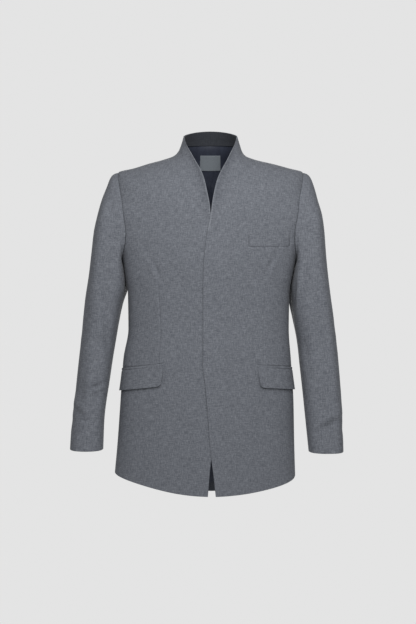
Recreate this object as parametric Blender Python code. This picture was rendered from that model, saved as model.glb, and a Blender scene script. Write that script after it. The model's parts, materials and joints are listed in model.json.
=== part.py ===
"""A tailored blazer as it hangs when worn, hollow, with a stand collar cut in one with its fronts.

Metres, +Z up, the front towards -Y, the wearer's left towards +X. The origin is the middle of the
neck, level with the tops of the shoulders, which carry the coat.
"""
import math
from collections import namedtuple

import bmesh
import bpy
import numpy as np

# Cloth walls and the space left between two pieces
BODY_CLOTH = 0.0020
SLEEVE_CLOTH = 0.0016
LINING_CLOTH = 0.0010
TRIM_CLOTH = 0.0014
SEAM = 0.0004
LAYER = 0.0005
LINING_GAP = 0.0016

# Sections of the body from the hem up: reach to each side, depth to the front and the back, and
# the height of the section at its front, sides and back, how square it is, and how its height
# falls away from the side. Rise counts along the cloth from the hem. The front is flat out to
# the armhole and turns there, and the back is rounder.
Section = namedtuple("Section", "rise right left front back z_front z_right z_left z_back square fall")
BODY = [
    Section(0.000, 0.2244, 0.1986, 0.1210, 0.1220, -0.7880, -0.7360, -0.7410, -0.7910, 0.120, 2.00),
    Section(0.120, 0.2174, 0.1960, 0.1210, 0.1220, -0.6630, -0.6630, -0.6630, -0.6630, 0.140, 2.00),
    Section(0.215, 0.2105, 0.1940, 0.1200, 0.1200, -0.5680, -0.5680, -0.5680, -0.5680, 0.150, 2.00),
    Section(0.313, 0.2033, 0.1875, 0.1180, 0.1120, -0.4700, -0.4700, -0.4700, -0.4700, 0.160, 2.00),
    Section(0.383, 0.1915, 0.1825, 0.1160, 0.1020, -0.4000, -0.4000, -0.4000, -0.4000, 0.170, 2.00),
    Section(0.463, 0.1920, 0.1835, 0.1200, 0.1060, -0.3200, -0.3200, -0.3200, -0.3200, 0.190, 2.00),
    Section(0.508, 0.1975, 0.1895, 0.1240, 0.1130, -0.2750, -0.2750, -0.2750, -0.2750, 0.220, 2.00),
    Section(0.540, 0.2000, 0.1940, 0.1260, 0.1170, -0.2430, -0.2450, -0.2450, -0.2400, 0.250, 2.00),
    Section(0.635, 0.2165, 0.2165, 0.1220, 0.1210, -0.1650, -0.1400, -0.1400, -0.1500, 0.300, 1.75),
    Section(0.690, 0.2225, 0.2225, 0.1185, 0.1195, -0.1280, -0.0780, -0.0780, -0.1100, 0.130, 1.50),
    Section(0.718, 0.2215, 0.2215, 0.1150, 0.1170, -0.1100, -0.0470, -0.0470, -0.0910, 0.060, 1.35),
    Section(0.735, 0.2170, 0.2170, 0.1120, 0.1150, -0.0990, -0.0342, -0.0342, -0.0780, 0.025, 1.30),
    Section(0.760, 0.1790, 0.1835, 0.1055, 0.1090, -0.0840, -0.0242, -0.0242, -0.0600, 0.010, 1.75),
    Section(0.785, 0.1465, 0.1455, 0.0990, 0.1030, -0.0700, -0.0140, -0.0140, -0.0410, 0.000, 2.00),
    Section(0.810, 0.1120, 0.1060, 0.0920, 0.0960, -0.0550, -0.0047, -0.0047, -0.0220, 0.000, 2.00),
    Section(0.832, 0.0855, 0.0818, 0.0850, 0.0870, -0.0400, 0.0050, 0.0050, -0.0010, 0.000, 2.00),
    Section(0.848, 0.0757, 0.0742, 0.0800, 0.0780, -0.0270, 0.0150, 0.0150, 0.0170, 0.000, 2.00),
    Section(0.865, 0.0695, 0.0695, 0.0760, 0.0720, -0.0120, 0.0290, 0.0290, 0.0340, 0.000, 1.70),
    Section(0.881, 0.0655, 0.0655, 0.0740, 0.0690, 0.0010, 0.0420, 0.0420, 0.0510, 0.000, 1.45),
    Section(0.894, 0.0630, 0.0625, 0.0730, 0.0670, 0.0130, 0.0520, 0.0520, 0.0668, 0.000, 1.30),
]
CHEST = 0.540
SHOULDER = 0.735
NECK = 0.865
COLLAR_TOP = 0.894
BACK_SQUARE = 0.15

# The left hem rounds its corner more: how fast it falls, and how softly it leaves the side
LEFT_HEM_FALL = 1.25
LEFT_HEM_SOFT = 0.15

# The front edges from collar to hem: sideways places of the left and the right edge by height
Edge = namedtuple("Edge", "z left right")
FRONT_EDGE = [
    Edge(0.060, 0.0630, -0.0635),
    Edge(0.045, 0.0605, -0.0612),
    Edge(0.020, 0.0512, -0.0510),
    Edge(-0.010, 0.0370, -0.0350),
    Edge(-0.032, 0.0255, -0.0225),
    Edge(-0.055, 0.0157, -0.0140),
    Edge(-0.082, 0.0088, -0.0080),
    Edge(-0.110, 0.0038, -0.0025),
    Edge(-0.138, 0.0000, 0.0015),
    Edge(-0.161, -0.0042, 0.0060),
    Edge(-0.202, -0.0113, 0.0130),
    Edge(-0.249, -0.0158, 0.0175),
    Edge(-0.308, -0.0173, 0.0190),
    Edge(-0.484, -0.0173, 0.0190),
    Edge(-0.543, -0.0113, 0.0130),
    Edge(-0.602, -0.0064, 0.0085),
    Edge(-0.690, 0.0005, 0.0025),
    Edge(-0.737, 0.0064, -0.0022),
    Edge(-0.800, 0.0130, -0.0070),
]
LAP_FULL = 0.024
LAP_GONE = 0.058

# Seams round the body, in degrees from the middle of the front, how far the side panel's front
# seam leans forward down to the hem, half widths of the armhole, and the power of its front's
# curve, where 1 is an ellipse and less is fuller
SIDE_FRONT = 78.0
SIDE_BACK = 104.0
SIDE_LEAN = 16.0
SHOULDER_SEAM = 97.0
ARMHOLE_FRONT = 36.0
ARMHOLE_BACK = 30.0
ARMHOLE_FULL = 0.75
ARMHOLE_INSET = 0.007

# Sections of a sleeve from armhole to cuff: its outer and inner line seen from the front, where
# its middle lies front to back, half its depth, and how far its inner back corner lies in to the
# body
Cut = namedtuple("Cut", "along outer_x outer_z inner_x inner_z middle half_depth turned")
SLEEVE_RIGHT = [
    Cut(0.000, 0.2170, -0.0342, 0.2000, -0.2450, 0.000, 0.0740, 0.000),
    Cut(0.014, 0.2315, -0.0420, 0.2030, -0.2478, -0.001, 0.0745, 0.002),
    Cut(0.036, 0.2440, -0.0700, 0.2028, -0.2520, -0.002, 0.0750, 0.006),
    Cut(0.058, 0.2552, -0.0990, 0.2020, -0.2580, -0.003, 0.0750, 0.010),
    Cut(0.084, 0.2655, -0.1360, 0.2012, -0.2655, -0.004, 0.0750, 0.013),
    Cut(0.112, 0.2738, -0.1740, 0.2002, -0.2750, -0.004, 0.0748, 0.015),
    Cut(0.147, 0.2790, -0.2200, 0.1984, -0.2880, -0.004, 0.0745, 0.015),
    Cut(0.190, 0.2855, -0.2750, 0.1985, -0.3060, -0.004, 0.0735, 0.012),
    Cut(0.240, 0.2945, -0.3340, 0.2066, -0.3420, -0.004, 0.0715, 0.006),
    Cut(0.335, 0.3040, -0.4280, 0.2220, -0.4300, -0.007, 0.0670, 0.000),
    Cut(0.428, 0.3137, -0.5220, 0.2362, -0.5230, -0.019, 0.0610, 0.000),
    Cut(0.522, 0.3240, -0.6160, 0.2480, -0.6160, -0.036, 0.0555, 0.000),
    Cut(0.590, 0.3275, -0.6810, 0.2500, -0.6810, -0.049, 0.0520, 0.000),
]
SLEEVE_LEFT = [
    Cut(0.000, 0.2170, -0.0342, 0.1940, -0.2450, 0.000, 0.0740, 0.000),
    Cut(0.014, 0.2315, -0.0420, 0.1970, -0.2478, -0.001, 0.0745, 0.002),
    Cut(0.036, 0.2436, -0.0700, 0.1966, -0.2520, -0.002, 0.0750, 0.006),
    Cut(0.058, 0.2515, -0.0990, 0.1956, -0.2580, -0.003, 0.0750, 0.010),
    Cut(0.084, 0.2620, -0.1360, 0.1944, -0.2655, -0.004, 0.0750, 0.013),
    Cut(0.112, 0.2672, -0.1740, 0.1926, -0.2750, -0.004, 0.0748, 0.015),
    Cut(0.147, 0.2705, -0.2200, 0.1902, -0.2880, -0.004, 0.0745, 0.016),
    Cut(0.190, 0.2758, -0.2750, 0.1880, -0.3080, -0.004, 0.0735, 0.016),
    Cut(0.240, 0.2830, -0.3340, 0.1900, -0.3440, -0.004, 0.0715, 0.012),
    Cut(0.335, 0.2950, -0.4280, 0.2030, -0.4300, -0.007, 0.0670, 0.004),
    Cut(0.428, 0.3030, -0.5220, 0.2127, -0.5230, -0.019, 0.0610, 0.000),
    Cut(0.522, 0.3085, -0.6160, 0.2218, -0.6160, -0.036, 0.0555, 0.000),
    Cut(0.590, 0.3095, -0.6860, 0.2285, -0.6860, -0.049, 0.0520, 0.000),
]
SLEEVE_LENGTH = 0.590
SLEEVE_SETTLES = 0.090
SLEEVE_SQUARE = 0.040
CUFF_SLOPE = 0.004
UNDER_FRONT = 15.0
UNDER_BACK = 288.0

# How much a sleeve's front keeps its depth towards its edges, which makes it flat
SLEEVE_FLAT = 0.42

# The largest soft folds of the sleeves: the place along and the angle around, how far each runs
# along and around, its depth, and how far along it leans in a quarter turn
Fold = namedtuple("Fold", "along around long wide depth lean")
FOLDS_RIGHT = [
    Fold(0.335, 60.0, 0.022, 45.0, -0.0030, 0.008),
    Fold(0.455, 120.0, 0.017, 50.0, -0.0028, -0.006),
    Fold(0.520, 165.0, 0.016, 45.0, -0.0022, 0.005),
    Fold(0.400, 270.0, 0.024, 50.0, 0.0030, 0.003),
]
FOLDS_LEFT = [
    Fold(0.345, 55.0, 0.024, 45.0, -0.0030, -0.005),
    Fold(0.470, 90.0, 0.020, 55.0, -0.0020, 0.004),
    Fold(0.540, 150.0, 0.016, 50.0, -0.0026, -0.008),
    Fold(0.395, 275.0, 0.024, 50.0, 0.0030, -0.003),
]

# Pockets: the front end of a flap seen from the front, its length round the body and its drop
FLAP_FRONT_X = 0.108
FLAP_FRONT_Z = -0.4870
FLAP_LENGTH = 0.150
FLAP_HEIGHT = 0.0490
FLAP_SLANT = 0.004
FLAP_CORNER = 0.010
FLAP_STAND = 0.0030
POCKET_FALL = 0.011
JET_HEIGHT = 0.006
WELT_LEFT_X = 0.0895
WELT_RIGHT_X = 0.1835
WELT_TOP_Z = -0.184
WELT_HEIGHT = 0.027
WELT_TILT = 0.002

# Inside the back: the turned-up hem, and the woven label below the neck seam
HEM_TURN = 0.022
LABEL_WIDTH = 0.050
LABEL_HEIGHT = 0.037
LABEL_DROP = 0.024

# Cells across and along each piece
FRONT_CELLS = 13
BACK_CELLS = 9
SIDE_CELLS = 4
SKIRT_ROWS = 15
ARM_ROWS = 9
YOKE_ROWS = 6
COLLAR_ROWS = 3
SLEEVE_ROWS = 22
STEP = 0.0005


def smooth_columns(rows, key, columns):
    """Return a function giving the named columns of a table, run smoothly and without overshoot."""
    knots = np.array([getattr(row, key) for row in rows])
    values = np.array([[getattr(row, name) for name in columns] for row in rows])
    if knots[0] > knots[-1]:
        knots = knots[::-1]
        values = values[::-1]
    gaps = np.diff(knots)[:, None]
    rates = np.diff(values, axis=0) / gaps
    slopes = np.zeros_like(values)
    slopes[0] = rates[0]
    slopes[-1] = rates[-1]
    for i in range(1, len(knots) - 1):
        same = rates[i - 1] * rates[i] > 0
        a = 2 * gaps[i] + gaps[i - 1]
        b = gaps[i] + 2 * gaps[i - 1]
        safe_before = np.where(same, rates[i - 1], 1.0)
        safe_after = np.where(same, rates[i], 1.0)
        slopes[i] = np.where(same, (a + b) / (a / safe_before + b / safe_after), 0.0)

    def at(place):
        place = np.asarray(place, dtype=float)
        i = np.clip(np.searchsorted(knots, place) - 1, 0, len(knots) - 2)
        gap = gaps[i]
        f = (place[..., None] - knots[i][..., None]) / gap
        f = np.clip(f, -0.2, 1.2)
        h1 = (1 + 2 * f) * (1 - f) ** 2
        h2 = f * (1 - f) ** 2
        h3 = f * f * (3 - 2 * f)
        h4 = f * f * (f - 1)
        return h1 * values[i] + h2 * gap * slopes[i] + h3 * values[i + 1] + h4 * gap * slopes[i + 1]

    return at


body_columns = smooth_columns(BODY, "rise", Section._fields[1:])
edge_columns = smooth_columns(FRONT_EDGE, "z", Edge._fields[1:])


def ease(f):
    f = np.clip(f, 0.0, 1.0)
    return f * f * (3 - 2 * f)


def left_hem_drop(c):
    """The share of its drop that the left hem has made, by the cosine of the turn."""
    at_side = LEFT_HEM_SOFT ** LEFT_HEM_FALL
    whole = (1 + LEFT_HEM_SOFT ** 2) ** (LEFT_HEM_FALL / 2) - at_side
    return ((c * c + LEFT_HEM_SOFT ** 2) ** (LEFT_HEM_FALL / 2) - at_side) / whole


def body_point(turn, rise):
    """A point of the body's outer face: turn in degrees from the front (+ to the wearer's left)."""
    turn, rise = np.broadcast_arrays(np.asarray(turn, float), np.asarray(rise, float))
    columns = np.moveaxis(body_columns(rise), -1, 0)
    right, left, front, back, z_front, z_right, z_left, z_back, square, fall = columns
    s = np.sin(np.radians(turn))
    c = np.cos(np.radians(turn))
    bulge = 1 + square * np.where(c > 0, s ** 4, BACK_SQUARE) * (2 * s * c) ** 2
    x = np.where(s < 0, right, left) * s * bulge
    y = -np.where(c > 0, front, back) * c * bulge
    z_side = np.where(s < 0, z_right, z_left)
    dropped = np.where((s > 0) & (rise < BODY[1].rise), left_hem_drop(c), np.abs(c) ** fall)
    z = z_side + (np.where(c > 0, z_front, z_back) - z_side) * dropped
    return np.stack([x, y, z], axis=-1)


def surface_normal(surface, a, b, step_a, step_b):
    across = surface(a + step_a, b) - surface(a - step_a, b)
    along = surface(a, b + step_b) - surface(a, b - step_b)
    normal = np.cross(across, along)
    return normal / np.linalg.norm(normal, axis=-1, keepdims=True)


def on_body(turn, rise, out):
    """A point so far out from the body's outer face."""
    turn, rise = np.broadcast_arrays(np.asarray(turn, float), np.asarray(rise, float))
    normal = surface_normal(body_point, turn, rise, 0.2, STEP)
    return body_point(turn, rise) + normal * np.asarray(out, float)[..., None]


def turn_of(distance, turn, rise):
    """The degrees that cover a distance round the body there."""
    arc = np.linalg.norm(body_point(turn + 0.2, rise) - body_point(turn - 0.2, rise), axis=-1)
    return distance * 0.4 / arc


def rise_of(distance, turn, rise):
    """The rise that covers a distance along the cloth there."""
    arc = np.linalg.norm(body_point(turn, rise + STEP) - body_point(turn, rise - STEP), axis=-1)
    return distance * 2 * STEP / arc


def front_edge_turn(rise, side):
    """Where a front's free edge crosses a section, by halving; side is +1 left, -1 right."""
    rise = np.asarray(rise, float)
    low = np.full(rise.shape, -40.0)
    high = np.full(rise.shape, 100.0)
    column = 0 if side > 0 else 1
    for _ in range(40):
        middle = (low + high) / 2
        point = body_point(side * middle, rise)
        past = side * (point[..., 0] - edge_columns(point[..., 2])[..., column]) > 0
        high = np.where(past, middle, high)
        low = np.where(past, low, middle)
    return (low + high) / 2


def front_place(x, z, side):
    """The turn and rise of a point seen from the front so far to one side and at a height."""
    low_rise, high_rise = 0.0, COLLAR_TOP
    for _ in range(40):
        rise = (low_rise + high_rise) / 2
        low, high = 0.0, 90.0
        for _ in range(40):
            turn = (low + high) / 2
            if abs(body_point(side * turn, rise)[0]) > x:
                high = turn
            else:
                low = turn
        if body_point(side * turn, rise)[2] > z:
            high_rise = rise
        else:
            low_rise = rise
    return turn, rise


def turn_along(start, rise, length, side):
    """The turn reached by going a length round the body from a starting turn."""
    turn = start
    for _ in range(300):
        turn += turn_of(length / 300, side * turn, rise)
    return turn


# The armhole runs round by an angle: 0 under the arm, 90 at the front, 180 on top, 270 behind
def armhole_place(angle, inset=0.0):
    c = np.cos(np.radians(angle)) * (1 - inset)
    s = np.sin(np.radians(angle)) * (1 - inset)
    share = (1 - c) / 2
    rise = CHEST + (SHOULDER - CHEST) * share
    middle = 90 + (SHOULDER_SEAM - 90) * share ** 2
    forward = np.where(s > 0, ARMHOLE_FRONT * np.abs(s) ** ARMHOLE_FULL, ARMHOLE_BACK * s)
    return middle - forward, rise


def armhole_turn(rise, half_width, power):
    share = np.clip((rise - CHEST) / (SHOULDER - CHEST), 0, 1)
    middle = 90 + (SHOULDER_SEAM - 90) * share ** 2
    return middle - half_width * (2 * np.sqrt(share * (1 - share))) ** power


def armhole_sine(turn):
    """The sine of the armhole's angle, counted from under the arm, over a turn of the side panel."""
    front = np.clip((90 - turn) / ARMHOLE_FRONT, 0, 1) ** (1 / ARMHOLE_FULL)
    return np.where(turn < 90, front, (90 - turn) / ARMHOLE_BACK)


CORNER_FRONT = math.degrees(math.asin(armhole_sine(SIDE_FRONT)))
CORNER_BACK = -math.degrees(math.asin(armhole_sine(SIDE_BACK)))
FRONT_ANGLES = np.linspace(CORNER_FRONT, 180, ARM_ROWS + 1)
BACK_ANGLES = np.linspace(CORNER_BACK, 180, ARM_ROWS + 1)


def arm_rises(angles):
    return CHEST + (SHOULDER - CHEST) * (1 - np.cos(np.radians(angles))) / 2


def panel_rows(angles, top_rows):
    """The rises of a panel's rows: hem to armhole, armhole to shoulder, shoulder to the top."""
    arm = arm_rises(angles)
    skirt = np.linspace(0, arm[0], SKIRT_ROWS + 1)
    yoke = np.linspace(SHOULDER, NECK, YOKE_ROWS + 1)
    rows = [skirt, arm[1:], yoke[1:]]
    if top_rows:
        rows.append(np.linspace(NECK, COLLAR_TOP, top_rows + 1)[1:])
    return np.concatenate(rows)


FRONT_ROWS = panel_rows(FRONT_ANGLES, COLLAR_ROWS)
BACK_ROWS = panel_rows(BACK_ANGLES, 0)


def at_rows(t, rows):
    return np.interp(t, np.linspace(0, 1, len(rows)), rows)


def side_front_turn(rise):
    return SIDE_FRONT - SIDE_LEAN * np.clip(1 - rise / FRONT_ROWS[SKIRT_ROWS], 0, 1)


def front_outer_turn(rise):
    armhole = armhole_turn(rise, ARMHOLE_FRONT, ARMHOLE_FULL)
    low_half = rise < (CHEST + SHOULDER) / 2
    return np.where(low_half, np.minimum(side_front_turn(rise), armhole), armhole)


def back_outer_turn(rise):
    armhole = armhole_turn(rise, -ARMHOLE_BACK, 1.0)
    low_half = rise < (CHEST + SHOULDER) / 2
    return np.where(low_half, np.maximum(SIDE_BACK, armhole), armhole)


def lap_lift(point):
    """How far the left front lies out where it laps over the right one."""
    full = BODY_CLOTH + LAYER
    return full * ease((LAP_GONE - point[..., 0]) / (LAP_GONE - LAP_FULL))


def front_shape(side):
    def shape(s, t, depth):
        rise = at_rows(t, FRONT_ROWS)
        inner = front_edge_turn(rise, side)
        outer = front_outer_turn(rise)
        outer = outer - turn_of(SEAM / 2, side * outer, rise)
        turn = side * (inner + (outer - inner) * s)
        out = -BODY_CLOTH * depth
        if side > 0:
            out = out + lap_lift(body_point(turn, rise))
        return on_body(turn, rise, out)
    return shape


def back_shape(side):
    def shape(s, t, depth):
        rise = at_rows(t, BACK_ROWS)
        outer = back_outer_turn(rise)
        outer = outer + turn_of(SEAM / 2, side * outer, rise)
        centre = 180 - turn_of(SEAM / 2, np.full(rise.shape, 180.0), rise)
        turn = side * (outer + (centre - outer) * s)
        return on_body(turn, rise, -BODY_CLOTH * depth)
    return shape


def side_shape(side):
    def shape(s, t, depth):
        turn = SIDE_FRONT + (SIDE_BACK - SIDE_FRONT) * s
        share = (1 - np.sqrt(1 - armhole_sine(turn) ** 2)) / 2
        rise = (CHEST + (SHOULDER - CHEST) * share) * t
        turn = turn + (side_front_turn(rise) - SIDE_FRONT) * (1 - s)
        edge = turn_of(SEAM / 2, side * turn, rise)
        turn = side * (turn + edge * (1 - 2 * s))
        return on_body(turn, rise, -BODY_CLOTH * depth)
    return shape


def collar_shape(out, cloth):
    def shape(s, t, depth):
        turn = SHOULDER_SEAM + (360 - 2 * SHOULDER_SEAM) * s
        rise = NECK + (COLLAR_TOP - NECK) * t
        rise = rise + rise_of(SEAM / 2, turn, rise) * (1 - t)
        turn = turn + turn_of(SEAM / 2, turn, rise) * (1 - 2 * s)
        return on_body(turn, rise, out - cloth * depth)
    return shape


INSIDE_BACK = -BODY_CLOTH - LINING_GAP
INSIDE_LINING = INSIDE_BACK - LINING_CLOTH - LAYER


def inside_back(rows):
    """Cloth lying inside both backs, on the given rows."""
    def shape(s, t, depth):
        rise = at_rows(t, rows)
        outer = back_outer_turn(rise)
        outer = outer + turn_of(0.004, outer, rise)
        turn = outer + (360 - 2 * outer) * s
        return on_body(turn, rise, INSIDE_BACK - LINING_CLOTH * depth)
    return shape


HEM_LINE = float(rise_of(HEM_TURN, 180.0, 0.0))
HEM_ROWS = np.array([HEM_LINE * 0.04, HEM_LINE * 0.98])
LINING_ROWS = np.concatenate([[HEM_LINE], BACK_ROWS[1:-1], [NECK - SEAM]])


def label_shape(s, t, depth):
    top = NECK - rise_of(LABEL_DROP, 180.0, NECK)
    for _ in range(8):
        top = NECK - LABEL_DROP * (NECK - top) / np.linalg.norm(
            body_point(180.0, NECK) - body_point(180.0, top))
    low = top
    for _ in range(60):
        low = low - rise_of(LABEL_HEIGHT / 60, 180.0, low)
    rise = low + (top - low) * t
    half = turn_of(LABEL_WIDTH / 2, np.full(s.shape, 180.0), rise)
    turn = 180 + half * (2 * s - 1)
    return on_body(turn, rise, INSIDE_LINING - LINING_CLOTH * depth)


def flap_places(side):
    turn, rise = front_place(FLAP_FRONT_X, FLAP_FRONT_Z, side)
    return turn, rise, turn_along(turn, rise, FLAP_LENGTH, side)


def flap_shape(side):
    start, top, stop = flap_places(side)

    def shape(s, t, depth):
        s = s * (0.35 + 0.65 * s)
        slant = turn_of(FLAP_SLANT * t * (1 - s), side * start, top)
        turn = start + (stop - start) * s + slant
        fall = POCKET_FALL * s
        near_front = np.clip(1 - s * FLAP_LENGTH / FLAP_CORNER, 0, 1)
        round_off = FLAP_CORNER * (1 - np.sqrt(1 - near_front ** 2))
        rise = top - fall - (FLAP_HEIGHT - round_off) * t
        out = LAYER + FLAP_STAND * t * t + TRIM_CLOTH * (1 - depth)
        return on_body(side * turn, rise, out)
    return shape


def jet_shape(side):
    start, top, stop = flap_places(side)

    def shape(s, t, depth):
        margin = turn_of(0.002, side * start, top)
        turn = start - margin + (stop - start + 2 * margin) * s
        rise = top - POCKET_FALL * s + SEAM + JET_HEIGHT * t
        return on_body(side * turn, rise, LAYER + LINING_CLOTH * (1 - depth))
    return shape


def welt_shape(s, t, depth):
    start, top = front_place(WELT_LEFT_X, WELT_TOP_Z, 1)
    stop, end = front_place(WELT_RIGHT_X, WELT_TOP_Z + WELT_TILT, 1)
    low_start, low = front_place(WELT_LEFT_X, WELT_TOP_Z - WELT_HEIGHT, 1)
    low_stop, low_end = front_place(WELT_RIGHT_X, WELT_TOP_Z + WELT_TILT - WELT_HEIGHT, 1)
    upper_turn = start + (stop - start) * s
    lower_turn = low_start + (low_stop - low_start) * s
    upper_rise = top + (end - top) * s
    lower_rise = low + (low_end - low) * s
    turn = lower_turn + (upper_turn - lower_turn) * t
    rise = lower_rise + (upper_rise - lower_rise) * t
    return on_body(turn, rise, LAYER + TRIM_CLOTH * (1 - depth))


def sleeve_surface(side):
    """The outer face of a sleeve by angle round it and distance along it."""
    table = SLEEVE_LEFT if side > 0 else SLEEVE_RIGHT
    folds = FOLDS_LEFT if side > 0 else FOLDS_RIGHT
    columns = smooth_columns(table, "along", Cut._fields[1:])

    def tube(angle, along):
        cut = np.moveaxis(columns(along), -1, 0)
        outer_x, outer_z, inner_x, inner_z, middle, half_depth, turned_in = cut
        c = np.cos(np.radians(angle))
        s = np.sin(np.radians(angle))
        swell = 1 + SLEEVE_SQUARE * (2 * s * c) ** 2
        for fold in folds:
            turned = (angle - fold.around + 180) % 360 - 180
            run = (along - fold.along - fold.lean * turned / 90) / fold.long
            swell = swell + fold.depth / half_depth * np.exp(-run ** 2 - (turned / fold.wide) ** 2)
        inner_back = np.where((c > 0) & (s < 0), (2 * s * c) ** 2, 0.0)
        x = (outer_x + inner_x) / 2 - (outer_x - inner_x) / 2 * c * swell - turned_in * inner_back
        z = (outer_z + inner_z) / 2 - (outer_z - inner_z) / 2 * c * swell
        flat = 1 + SLEEVE_FLAT * np.where(s > 0, 1 - s * s, 0.0)
        y = middle - half_depth * s * swell * flat
        z = z - CUFF_SLOPE * s * ease((along - 0.35) / (SLEEVE_LENGTH - 0.35))
        return np.stack([side * x, y, z], axis=-1)

    def surface(angle, along):
        angle, along = np.broadcast_arrays(np.asarray(angle, float), np.asarray(along, float))
        angle = angle % 360
        turn, rise = armhole_place(angle, ARMHOLE_INSET)
        start = body_point(side * turn, rise)
        share = ease(along / SLEEVE_SETTLES)[..., None]
        return tube(angle, along) + (start - tube(angle, np.zeros(along.shape))) * (1 - share)

    return surface


def side_angles():
    """Angles round the armhole that meet the side panel's top, from its front to its back corner."""
    turn = np.linspace(SIDE_FRONT, SIDE_BACK, SIDE_CELLS + 1)
    return np.degrees(np.arcsin(armhole_sine(turn)))


def sleeve_angles():
    """All the angles round a sleeve, from under the arm forwards, over the top and back again."""
    under = side_angles()[::-1]
    back = 360 - BACK_ANGLES[::-1]
    return np.concatenate([under, FRONT_ANGLES[1:], back[1:]])


def split_angles():
    angles = sleeve_angles()
    front = int(np.argmin(np.abs(angles - UNDER_FRONT)))
    back = int(np.argmin(np.abs(angles - UNDER_BACK)))
    upper = angles[front:back + 1]
    under = np.concatenate([angles[back:-1] - 360, angles[:front + 1]])
    return upper, under


def sleeve_rows():
    """Distances along a sleeve, closer together over the shoulder."""
    f = np.linspace(0, 1, SLEEVE_ROWS + 1)
    return SLEEVE_LENGTH * (0.55 * f + 0.45 * f * f)


def sleeve_shape(side, angles):
    surface = sleeve_surface(side)
    rows = sleeve_rows()

    def shape(s, t, depth):
        around = np.interp(s, np.linspace(0, 1, len(angles)), angles)
        along = at_rows(t, rows)
        inside = np.clip(along, 0.001, None)
        ring = surface(around + 0.5, along) - surface(around - 0.5, along)
        arc = np.linalg.norm(ring, axis=-1)
        around = around + SEAM / 2 / arc * (1 - 2 * s)
        normal = surface_normal(surface, around, inside, 0.5, 0.001) * -side
        return surface(around, along) - normal * (SLEEVE_CLOTH * depth)[..., None]
    return shape


def new_piece(name, shape, cells, rows, colour, roughness, home):
    """Bend a flat plate, one cell thick, into a piece of cloth."""
    bm = bmesh.new()
    bmesh.ops.create_grid(bm, x_segments=cells, y_segments=rows, size=0.5)
    bmesh.ops.translate(bm, verts=bm.verts, vec=(0.5, 0.5, 0.0))
    lifted = bmesh.ops.extrude_face_region(bm, geom=bm.faces[:], use_keep_orig=True)
    copies = [part for part in lifted["geom"] if isinstance(part, bmesh.types.BMVert)]
    bmesh.ops.translate(bm, verts=copies, vec=(0.0, 0.0, 1.0))
    flat = np.array([vert.co for vert in bm.verts])
    bent = shape(flat[:, 0], flat[:, 1], flat[:, 2])
    for vert, place in zip(bm.verts, bent):
        vert.co = place
    bmesh.ops.recalc_face_normals(bm, faces=bm.faces)
    if bm.calc_volume(signed=True) < 0:
        bmesh.ops.reverse_faces(bm, faces=bm.faces)
    for face in bm.faces:
        face.smooth = True
    mesh = bpy.data.meshes.new(name)
    bm.to_mesh(mesh)
    bm.free()
    piece = bpy.data.objects.new(name, mesh)
    home.objects.link(piece)
    material = bpy.data.materials.new(name + "_cloth")
    material.use_nodes = True
    shader = material.node_tree.nodes["Principled BSDF"]
    shader.inputs["Base Color"].default_value = colour
    shader.inputs["Roughness"].default_value = roughness
    shader.inputs["Metallic"].default_value = 0.0
    mesh.materials.append(material)
    return piece


GREY = (0.165, 0.172, 0.190, 1.0)
GREY_SHADE = (0.140, 0.147, 0.163, 1.0)
NAVY = (0.022, 0.026, 0.040, 1.0)
LABEL_GREY = (0.180, 0.195, 0.205, 1.0)

for old in list(bpy.data.objects):
    bpy.data.objects.remove(old, do_unlink=True)
blazer = bpy.data.collections.new("blazer")
bpy.context.scene.collection.children.link(blazer)

for name, side in (("left", 1), ("right", -1)):
    upper, under = split_angles()
    new_piece("front_" + name, front_shape(side), FRONT_CELLS, len(FRONT_ROWS) - 1, GREY, 0.9, blazer)
    new_piece("back_" + name, back_shape(side), BACK_CELLS, len(BACK_ROWS) - 1, GREY, 0.9, blazer)
    new_piece("side_" + name, side_shape(side), SIDE_CELLS, SKIRT_ROWS, GREY, 0.9, blazer)
    new_piece("upper_sleeve_" + name, sleeve_shape(side, upper), len(upper) - 1, SLEEVE_ROWS,
              GREY, 0.9, blazer)
    new_piece("under_sleeve_" + name, sleeve_shape(side, under), len(under) - 1, SLEEVE_ROWS,
              GREY, 0.9, blazer)
    new_piece("flap_" + name, flap_shape(side), 12, 4, GREY_SHADE, 0.9, blazer)
    new_piece("jet_" + name, jet_shape(side), 12, 1, GREY_SHADE, 0.9, blazer)
new_piece("chest_welt", welt_shape, 8, 2, GREY_SHADE, 0.9, blazer)
new_piece("collar_stand", collar_shape(0.0, BODY_CLOTH), 2 * BACK_CELLS, COLLAR_ROWS,
          GREY, 0.9, blazer)
new_piece("collar_facing", collar_shape(-BODY_CLOTH - LAYER, LINING_CLOTH), 2 * BACK_CELLS, COLLAR_ROWS,
          GREY_SHADE, 0.9, blazer)
new_piece("lining_back", inside_back(LINING_ROWS), 2 * BACK_CELLS, len(LINING_ROWS) - 1,
          NAVY, 0.45, blazer)
new_piece("hem_turn_up", inside_back(HEM_ROWS), 2 * BACK_CELLS, 1, GREY_SHADE, 0.9, blazer)
new_piece("neck_label", label_shape, 4, 3, LABEL_GREY, 0.6, blazer)
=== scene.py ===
# %% [markdown]
# # A grey blazer in its worn form
# The coat hangs as it does when worn, hollow, with nobody in it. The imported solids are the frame:
# they hold its size, its cut and its pose. Each cut piece of cloth is made again here as a fine
# thin shell on the same form, with seams pressed in, edges turned, creases and woven finishes.

# %% Load the frame
import json
import math
from collections import namedtuple

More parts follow.
